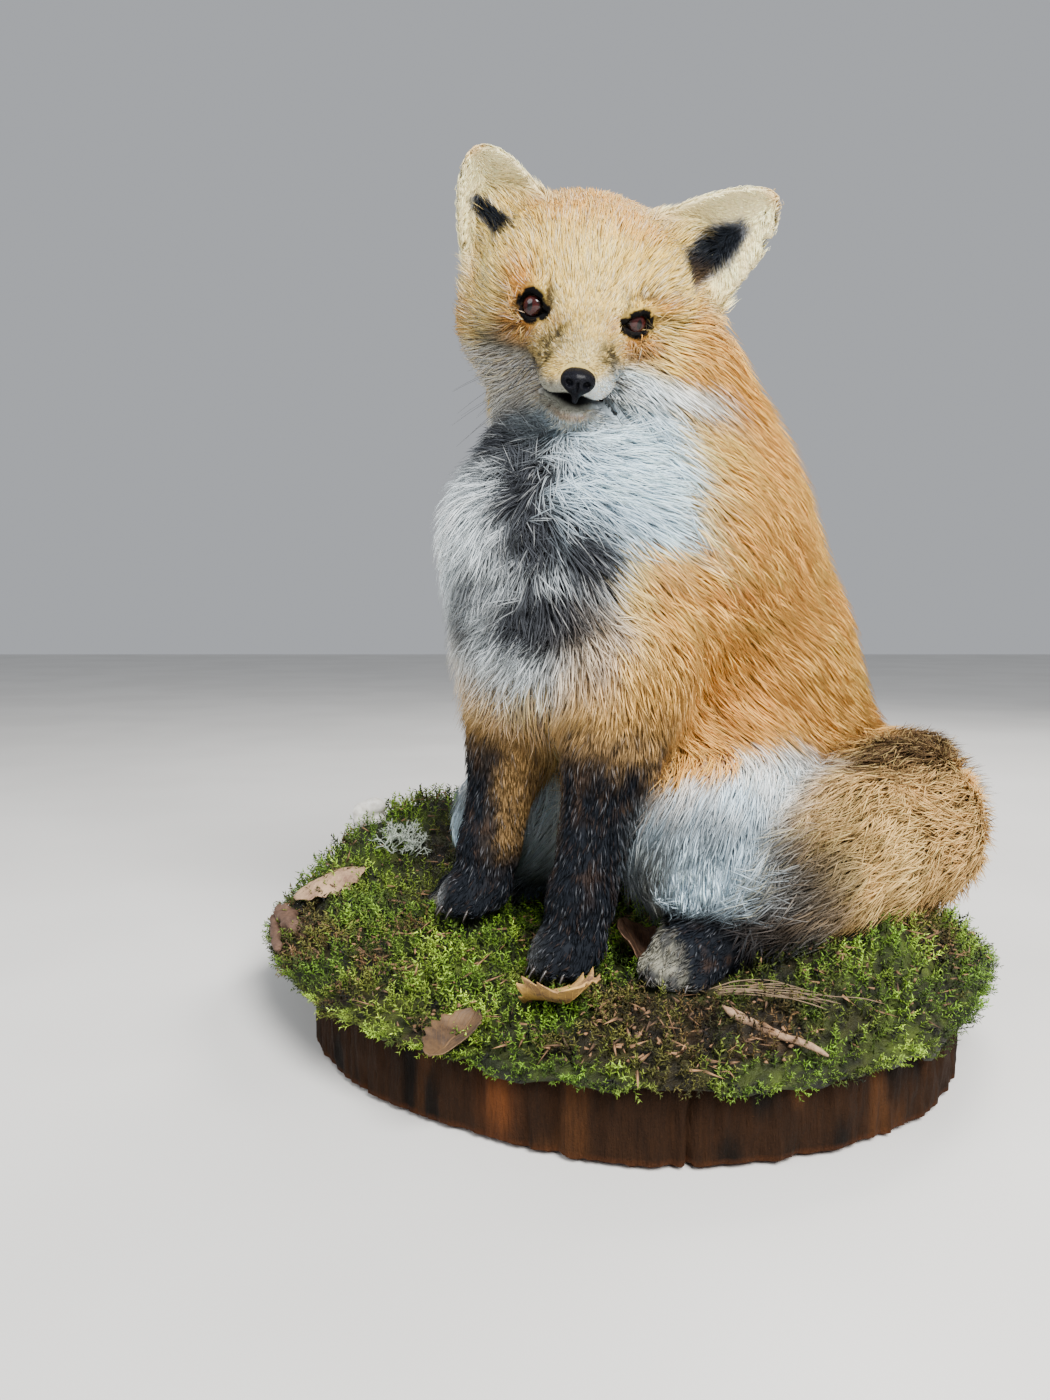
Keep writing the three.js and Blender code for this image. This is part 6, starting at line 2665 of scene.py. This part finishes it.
    def sprig_mesh(self, roots: Array, way: Array, long: Array, shade: Array,
                   rng: np.random.Generator) -> tuple[Array, Array, Array]:
        """Stalks with leaflets, each a thin closed spike.

        Args:
            roots: Where the stalks start.
            way: Which way they point.
            long: How long they are.
            shade: Their colours.
            rng: The source of random values.

        Returns:
            The corners, triangles and colours.
        """
        count = len(roots)
        guide = unit(rng.normal(size=(count, 3)))
        side = unit(np.cross(way, guide))
        high = np.cross(side, way)
        starts, ends, widths, shades = [roots], [roots + way * long[:, None]], [0.07 * long], [shade * 0.7]
        bent = high * (0.22 * long)[:, None]
        for n in range(self.leaflets):
            share = 0.22 + 0.72 * n / (self.leaflets - 1)
            start = roots + way * (long * share)[:, None] + bent * share**2 * 0.4
            turn = n * 2.4 + rng.uniform(-0.4, 0.4, count)
            spread = side * np.cos(turn)[:, None] + high * np.sin(turn)[:, None]
            reach = (0.46 - 0.22 * share) * long
            end = start + unit(spread + way * (0.55 + 0.5 * share)) * reach[:, None]
            starts.append(start)
            ends.append(end)
            widths.append(0.11 * long)
            shades.append(shade * (0.6 + 0.8 * share))
        start, end = np.concatenate(starts), np.concatenate(ends)
        width, tint = np.concatenate(widths), np.concatenate(shades)
        return spikes(start, end, width, tint)

    @staticmethod
    def finish() -> bpy.types.Material:
        """Moss, whose colour comes from its layer.

        Returns:
            The material.
        """
        s = Shader("moss_green")
        tone = s.noise(500.0, 3) * 0.7 + s.noise(70.0, 2) * 0.5 + 0.4
        colour = s.own_colour(tone, (1, 1, 0.95))
        return s.dress(Base_Color=colour, Roughness=0.6, Specular_IOR_Level=0.3,
                       Normal=s.bump(s.noise(900.0, 3) + s.noise(260.0, 4, 0.7) * 1.6, 0.9, 0.0016))


def spikes(start: Array, end: Array, width: Array, shade: Array) -> tuple[Array, Array, Array]:
    """Closed three-sided spikes from start to end points, with a colour each that is lighter at the tip.

    Args:
        start: Where they start.
        end: Where they end.
        width: How wide they start.
        shade: Their colours.

    Returns:
        The corners, triangles and colours.
    """
    count = len(start)
    along = unit(end - start)
    side = unit(np.cross(along, UP + np.array([0.13, 0.29, 0])))
    high = np.cross(side, along)
    half = (width / 2)[:, None]
    ring = [start - side * half, start + side * half, start + high * half * 1.2]
    points = np.stack([*ring, end], 1).reshape(-1, 3)
    pattern = np.array([(0, 1, 2), (0, 3, 1), (1, 3, 2), (2, 3, 0)])
    faces = (np.arange(count)[:, None, None] * 4 + pattern[None]).reshape(-1, 3)
    colours = np.stack([shade * 0.7] * 3 + [shade * 1.15], 1).reshape(-1, 3)
    return points, faces, np.clip(colours, 0.002, 1)


@dataclass(frozen=True)
class Leaf:
    """A dead leaf: its place, turn and tilt in degrees, length, width, cup and colours."""

    name: str
    place: tuple[float, float]
    turn: float
    tilt: float
    long: float
    wide: float
    cup: float
    pale: tuple[float, float, float]
    dark: tuple[float, float, float]
    across: int = 16
    along: int = 26
    thick: float = 0.5

    def point(self, u: Array, v: Array) -> Array:
        """The leaf's middle surface at u across, from -1 to 1, and v along, from 0 to 1.

        Args:
            u: Places across.
            v: Places along.

        Returns:
            World points.
        """
        along = (v - 0.5) * self.long
        teeth = 1 + 0.10 * np.sin(v * 38) * np.abs(u) ** 3
        half = self.wide / 2 * np.sin(math.pi * (0.03 + 0.94 * v)) ** 0.75 * teeth
        x = u * half
        dish = self.cup * ((2 * x / self.wide) ** 2 + 0.6 * (2 * along / self.long) ** 2)
        spot = np.stack([x, along, np.full(u.shape, self.turn)], -1).reshape(-1, 3)
        crinkle = (1.5 * noise(spot, 9, 81) + 0.7 * noise(spot, 4, 82)).reshape(u.shape)
        curl = 0.35 * abs(self.cup) * np.abs(u) ** 4 * noise(spot, 18, 83).reshape(u.shape)
        rib = -0.8 * np.exp(-((u / 0.1) ** 2))
        local = np.stack([x, along, dish + crinkle + curl + rib], -1)
        cos, sin = math.cos(math.radians(self.tilt)), math.sin(math.radians(self.tilt))
        roll = np.array([[1, 0, 0], [0, cos, -sin], [0, sin, cos]])
        cos, sin = math.cos(math.radians(self.turn)), math.sin(math.radians(self.turn))
        spin = np.array([[cos, -sin, 0], [sin, cos, 0], [0, 0, 1]])
        height = moss_top(*self.place) + 4
        return local @ roll.T @ spin.T + np.array([*self.place, height])

    def build(self) -> None:
        """Makes the leaf as a thin closed plate."""
        widths, heights = np.linspace(-1, 1, self.across + 1), np.linspace(0, 1, self.along + 1)
        u, v = np.meshgrid(widths, heights, indexing="ij")
        middle = self.point(u, v)
        du = np.gradient(middle, axis=0)
        dv = np.gradient(middle, axis=1)
        normal = unit(np.cross(du, dv))
        top, low = middle + normal * self.thick / 2, middle - normal * self.thick / 2
        rows, cols = u.shape
        points = np.concatenate([top.reshape(-1, 3), low.reshape(-1, 3)])
        uv = np.stack([u.ravel(), v.ravel()], 1)
        uv = np.concatenate([uv, uv]) * np.array([0.5, 1.0]) + np.array([0.5, 0.0])
        back = rows * cols
        i, j = np.meshgrid(np.arange(rows - 1), np.arange(cols - 1), indexing="ij")
        a = (i * cols + j).ravel()
        quads = [np.stack([a, a + cols, a + cols + 1, a + 1], 1),
                 np.stack([a, a + 1, a + cols + 1, a + cols], 1) + back]
        loop = [*range(0, back - cols, cols), *range(back - cols, back - 1),
                *range(back - 1, cols - 1, -cols),
                *range(cols - 1, 0, -1)]
        for here, there in zip(loop, loop[1:] + loop[:1]):
            quads.append(np.array([[there, here, here + back, there + back]]))
        piece = mesh_piece(self.name, points, np.concatenate(quads), uv, uv_name="Blade")
        settle_piece(piece, self.finish(), [self.name.replace("_blade", "")])

    def finish(self) -> bpy.types.Material:
        """Dry leaf, with veins and blotches.

        Returns:
            The material.
        """
        s = Shader(self.name)
        spot = s.unwrap("Blade")
        parts = s.node("ShaderNodeSeparateXYZ", {}, {"Vector": spot}, "X")
        along = s.node("ShaderNodeSeparateXYZ", {}, {"Vector": spot}, "Y")
        off = (parts - 0.5).math("ABSOLUTE")
        side_vein = ((along * 9 - off * 9).math("FRACT") - 0.5).math("ABSOLUTE").between(0.43, 0.5)
        rib = 1 - off.between(0.006, 0.03)
        veins = side_vein.math("MAXIMUM", rib)
        blotch = s.noise(70.0, 4)
        fine = s.noise(420.0, 3)
        colour = s.ramp(blotch * 0.7 + fine * 0.3, ((0.35, self.dark), (0.62, self.pale)))
        colour = s.mix(veins * 0.55, colour, [min(1.0, c * 1.7) for c in self.pale])
        height = veins * 0.6 + fine * 0.4
        return s.dress(Base_Color=colour, Roughness=0.72, Normal=s.bump(height, 0.6, 0.0008))


@dataclass(frozen=True)
class Stick:
    """A twig, root or piece of bark on the moss: its ends with their lifts, a radius and a bow."""

    name: str
    node: str
    slot: str
    start: tuple[float, float, float]
    end: tuple[float, float, float]
    radius: float
    pale: tuple[float, float, float]
    dark: tuple[float, float, float]
    bow: float = 0.0
    rough: float = 0.25
    flat: float = 1.0
    strands: int = 1
    stations: int = 26
    sides: int = 14

    def build(self, seed: int) -> None:
        """Makes the stick.

        Args:
            seed: Which set of random values.
        """
        rng = np.random.default_rng(seed)
        ends = [np.array([x, y, moss_top(x, y) + lift]) for x, y, lift in (self.start, self.end)]
        run = ends[1] - ends[0]
        parts = []
        for n in range(self.strands):
            share = np.linspace(0, 1, self.stations)
            line = ends[0] + run * share[:, None] + UP * (self.bow * (1 - (2 * share - 1) ** 2))[:, None]
            if n:
                line = line + rng.normal(size=3) * np.array([7, 7, 1.8]) * (0.4 + share[:, None])
            wander = drift(line + n * 31, 17, 91) * (1 + self.radius * 0.8)
            line = line + wander
            size = self.radius * (1 if n == 0 else 0.6)
            radii = size * (1 - 0.35 * share) * np.clip(np.sin(math.pi * (0.05 + 0.9 * share)) * 2.2, 0.35, 1)
            points, faces = tube(line, radii, self.sides)
            middle = np.repeat(line, self.sides, 0)
            off = points[:len(middle)] - middle
            off[:, 2] *= self.flat
            ripple = 1 + self.rough * noise(middle + off * 2.0, self.radius * 0.9 + 0.6, 94)
            points[:len(middle)] = middle + off * ripple[:, None]
            parts.append((points, faces))
        piece = mesh_piece(self.name, *joined(parts))
        settle_piece(piece, self.finish(), [self.node])

    def finish(self) -> bpy.types.Material:
        """Weathered bark or root.

        Returns:
            The material.
        """
        s = Shader(self.name)
        grain = s.noise(260.0, 4, 0.65)
        fine = s.noise(800.0, 3)
        colour = s.ramp(grain * 0.7 + fine * 0.3, ((0.3, self.dark), (0.7, self.pale)))
        return s.dress(Base_Color=colour, Roughness=0.8, Normal=s.bump(grain * 0.6 + fine * 0.4, 0.8, 0.0012))


@dataclass
class Lichen:
    """A pale tuft of branching lichen, and a white crust of fungus beside it."""

    seed: int = 9
    stems: int = 46

    def build(self) -> None:
        """Makes the lichen and the fungus."""
        rng = np.random.default_rng(self.seed)
        low, high = (np.array(corner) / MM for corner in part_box("lichen"))
        centre = (low + high) / 2
        size = (high - low) / 2
        starts, ends, widths = [], [], []
        for _ in range(self.stems):
            root = centre + rng.uniform(-0.55, 0.55, 3) * size - UP * size[2] * 0.6
            way = unit(np.array([rng.normal() * 0.8, rng.normal() * 0.8, 1.0]))
            self.branch(root, way, rng.uniform(5, 8.5), 1.5, 3, rng, starts, ends, widths)
        shade = np.tile(linear(0.80, 0.84, 0.78), (len(starts), 1)) * rng.uniform(0.75, 1.1, (len(starts), 1))
        points, faces, colours = spikes(np.array(starts), np.array(ends), np.array(widths), shade)
        piece = mesh_piece("lichen_tuft", points, faces, colours=colours)
        s = Shader("lichen_grey")
        tone = s.noise(600.0, 3) * 0.5 + 0.75
        colour = s.own_colour(tone)
        settle_piece(piece, s.dress(Base_Color=colour, Roughness=0.85), ["lichen"])
        self.fungus(rng)

    def branch(self, root: Array, way: Array, long: float, width: float, depth: int, rng: np.random.Generator,
               starts: list[Array], ends: list[Array], widths: list[float]) -> None:
        """Adds one stem and what forks from it.

        Args:
            root: Where it starts.
            way: Which way it points.
            long: How long it is.
            width: How wide it is.
            depth: How many more times it forks.
            rng: The source of random values.
            starts: The list that starts are added to.
            ends: The list for ends.
            widths: The list for widths.
        """
        tip = root + way * long
        starts.append(root - way * 0.8)
        ends.append(tip + way * long * 0.5)
        widths.append(width)
        if not depth:
            return
        for _ in range(2):
            turned = unit(way + rng.normal(size=3) * 0.62)
            self.branch(tip, turned, long * rng.uniform(0.55, 0.8), width * 0.72, depth - 1, rng,
                        starts, ends, widths)

    @staticmethod
    def fungus(rng: np.random.Generator) -> None:
        """A white lumpy bracket.

        Args:
            rng: The source of random values.
        """
        low, high = (np.array(corner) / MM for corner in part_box("stone"))
        centre, size = (low + high) / 2, (high - low) / 2
        places = [stops((low[n] - 4, high[n] + 4, 0.9)) for n in range(3)]
        lumps = [(centre + rng.uniform(-0.55, 0.55, 3) * size, size.min() * rng.uniform(0.45, 0.75))
                 for _ in range(7)]

        def distance(p: Array) -> Array:
            """How far points are outside the fungus.

            Args:
                p: Points in millimetres.

            Returns:
                The distances, negative inside.
            """
            d = np.full(len(p), 50.0)
            for spot, radius in lumps:
                off = (p - spot) * np.array([1, 1, 1.25])
                d = smooth_min(d, lengths(off) - radius, 3.0)
            return d + 0.35 * noise(p, 3.0, 97)

        points, quads = facet(grid_values(distance, *places, 3), *places)
        piece = mesh_piece("fungus", points, quads)
        s = Shader("fungus_white")
        tone = s.noise(220.0, 4)
        colour = s.ramp(tone, ((0.3, linear(0.72, 0.70, 0.66)), (0.7, linear(0.92, 0.91, 0.88))))
        settle_piece(piece,
                     s.dress(Base_Color=colour, Roughness=0.8, Normal=s.bump(tone, 0.5, 0.001)), ["stone"])


@dataclass
class Litter:
    """The leaves, sticks and crumbs that lie on the moss."""

    crumbs: int = 2600
    seed: int = 17

    def build(self) -> None:
        """Makes each piece of litter."""
        tan, brown = tuple(linear(0.66, 0.54, 0.42)), tuple(linear(0.42, 0.31, 0.24))
        yellow, dark = tuple(linear(0.80, 0.62, 0.32)), tuple(linear(0.22, 0.14, 0.10))
        leaves = (
            Leaf("leaf_front_blade", (-50, -163), 215, 24, 52, 40, 13, yellow, brown),
            Leaf("leaf_left_blade", (-202, 26), 120, -16, 52, 34, -8, tan, brown),
            Leaf("leaf_rim_blade", (-104, -174), 330, 10, 42, 25, 6, tuple(linear(0.38, 0.28, 0.17)),
                 tuple(linear(0.19, 0.13, 0.08))),
            Leaf("leaf_curled_blade", (-2, -84), 40, 34, 46, 32, 9, tuple(linear(0.46, 0.34, 0.25)), dark),
        )
        for leaf in leaves:
            leaf.build()
        sticks = (
            Stick("twig_bark", "twig", "bark", (26, -170, 4), (72, -196, 4), 2.4, tan, brown),
            Stick("root_fibres", "root", "dead_leaf", (28, -152, 3), (78, -170, 4), 0.6,
                  tuple(linear(0.50, 0.42, 0.32)), tuple(linear(0.34, 0.27, 0.20)), 3, strands=14),
            Stick("bark_chip_piece", "bark_chip", "bark", (92, -118, 3), (116, -124, 3), 5.5, brown, dark,
                  0, 0.4, 0.5),
            Stick("bark_clump_piece", "bark_clump", "bark", (-236, 30, 2), (-214, -20, 2), 7.0, brown, dark,
                  0, 0.5, 0.9, 5),
        )
        for n, stick in enumerate(sticks):
            stick.build(self.seed + n)
        self.scatter()

    def scatter(self) -> None:
        """Small dry crumbs and needles over the moss."""
        rng = np.random.default_rng(self.seed)
        angle = rng.uniform(0, 2 * math.pi, self.crumbs * 2)
        share = np.sqrt(rng.uniform(0.0, 0.98, self.crumbs * 2))
        xy = spokes(angle) * (moss_reach(angle) * share)[:, None]
        roots = raised(xy, Moss.top(xy) + 5)
        patch = step(noise(roots, 26, 73) + 0.35 * noise(roots, 9, 74), 0.0, 0.5)
        free = (BODY.distance(roots + UP * 3, 60) > 4) & (rng.random(len(roots)) < 0.25 + 0.75 * patch)
        roots = roots[free][:self.crumbs]
        way = unit(rng.normal(size=(len(roots), 3)) * np.array([1, 1, 0.35]))
        long = rng.uniform(2.5, 11, len(roots)) * rng.choice([0.6, 1.0, 1.5], len(roots))
        shade = linear(0.46, 0.34, 0.23) * rng.uniform(0.35, 1.9, (len(roots), 1))
        wide = rng.uniform(0.8, 2.6, len(roots))
        points, faces, colours = spikes(roots, roots + way * long[:, None], wide, shade)
        piece = mesh_piece("litter_crumbs", points, faces, colours=colours)
        s = Shader("litter_dry")
        tone = s.noise(500.0, 3) * 0.6 + 0.7
        colour = s.own_colour(tone)
        settle_piece(piece, s.dress(Base_Color=colour, Roughness=0.85))


# ---------------------------------------------------------------- the studio

@dataclass
class Studio:
    """The camera, the floor and soft light."""

    eye: tuple[float, float, float] = (-0.069, -0.678, 0.2606)
    pitch: float = math.radians(4.7)
    focal_pixels: float = 1060.0
    frame_height: int = 1400
    sensor: float = 36.0

    def build(self) -> None:
        """Sets up the camera, floor and lights."""
        data = bpy.data.cameras.new("camera")
        data.sensor_fit = "AUTO"
        data.sensor_width = self.sensor
        data.lens = self.focal_pixels / self.frame_height * self.sensor
        data.clip_start = 0.02
        camera = bpy.data.objects.new("camera", data)
        camera.location = self.eye
        camera.rotation_euler = (math.pi / 2 - self.pitch, 0, 0)
        bpy.context.scene.collection.objects.link(camera)
        bpy.context.scene.camera = camera
        self.floor()
        self.world()
        self.light("key", (0.55, -1.45, 1.55), 1.05, 128, (1.0, 0.985, 0.96))
        self.light("fill", (-1.3, -1.0, 1.1), 1.2, 20, (0.95, 0.98, 1.0))
        self.light("rim", (0.9, 1.2, 1.5), 0.8, 36, (1.0, 0.97, 0.93))

    @staticmethod
    def floor() -> None:
        """A plain pale floor."""
        bpy.ops.mesh.primitive_plane_add(size=12)
        floor = bpy.context.object
        floor.name = "floor"
        s = Shader("floor_pale")
        tone = s.ramp(s.noise(3.0, 2), ((0.4, (0.60, 0.59, 0.57)), (0.6, (0.64, 0.63, 0.61))))
        floor.data.materials.append(s.dress(Base_Color=tone, Roughness=0.75))

    @staticmethod
    def world() -> None:
        """Even light from all round."""
        world = bpy.data.worlds.new("studio")
        bpy.context.scene.world = world
        world.use_nodes = True
        background = world.node_tree.nodes["Background"]
        background.inputs["Color"].default_value = (0.80, 0.83, 0.88, 1)
        background.inputs["Strength"].default_value = 0.55

    @staticmethod
    def light(name: str, place: Sequence[float], size: float, power: float, tint: Sequence[float]) -> None:
        """An area light that faces the fox.

        Args:
            name: The light's name.
            place: Where it hangs, in metres.
            size: How wide it is, in metres.
            power: Its power in watts.
            tint: Its colour.
        """
        data = bpy.data.lights.new(name, "AREA")
        data.shape = "DISK"
        data.size = size
        data.energy = power
        data.color = tint
        lamp = bpy.data.objects.new(name, data)
        lamp.location = place
        way = np.array([0.0, 0.0, 0.25]) - np.array(place)
        lamp.rotation_euler = (math.atan2(math.hypot(way[0], way[1]), -way[2]), 0,
                               math.atan2(way[1], way[0]) - math.pi / 2)
        bpy.context.scene.collection.objects.link(lamp)


def main() -> None:
    """Builds the fox, its mount and the studio in order."""
    logging.basicConfig(level=logging.INFO, format="%(message)s")
    Studio().build()
    skin = Skin()
    skin.build()
    Fur(skin).build()
    Eyes().build()
    Nose().build()
    Lips().build()
    Whiskers().build()
    Claws().build()
    Slab().build()
    Moss().build()
    Litter().build()
    Lichen().build()
    deselect_all()


if __name__ == "__main__":
    main()
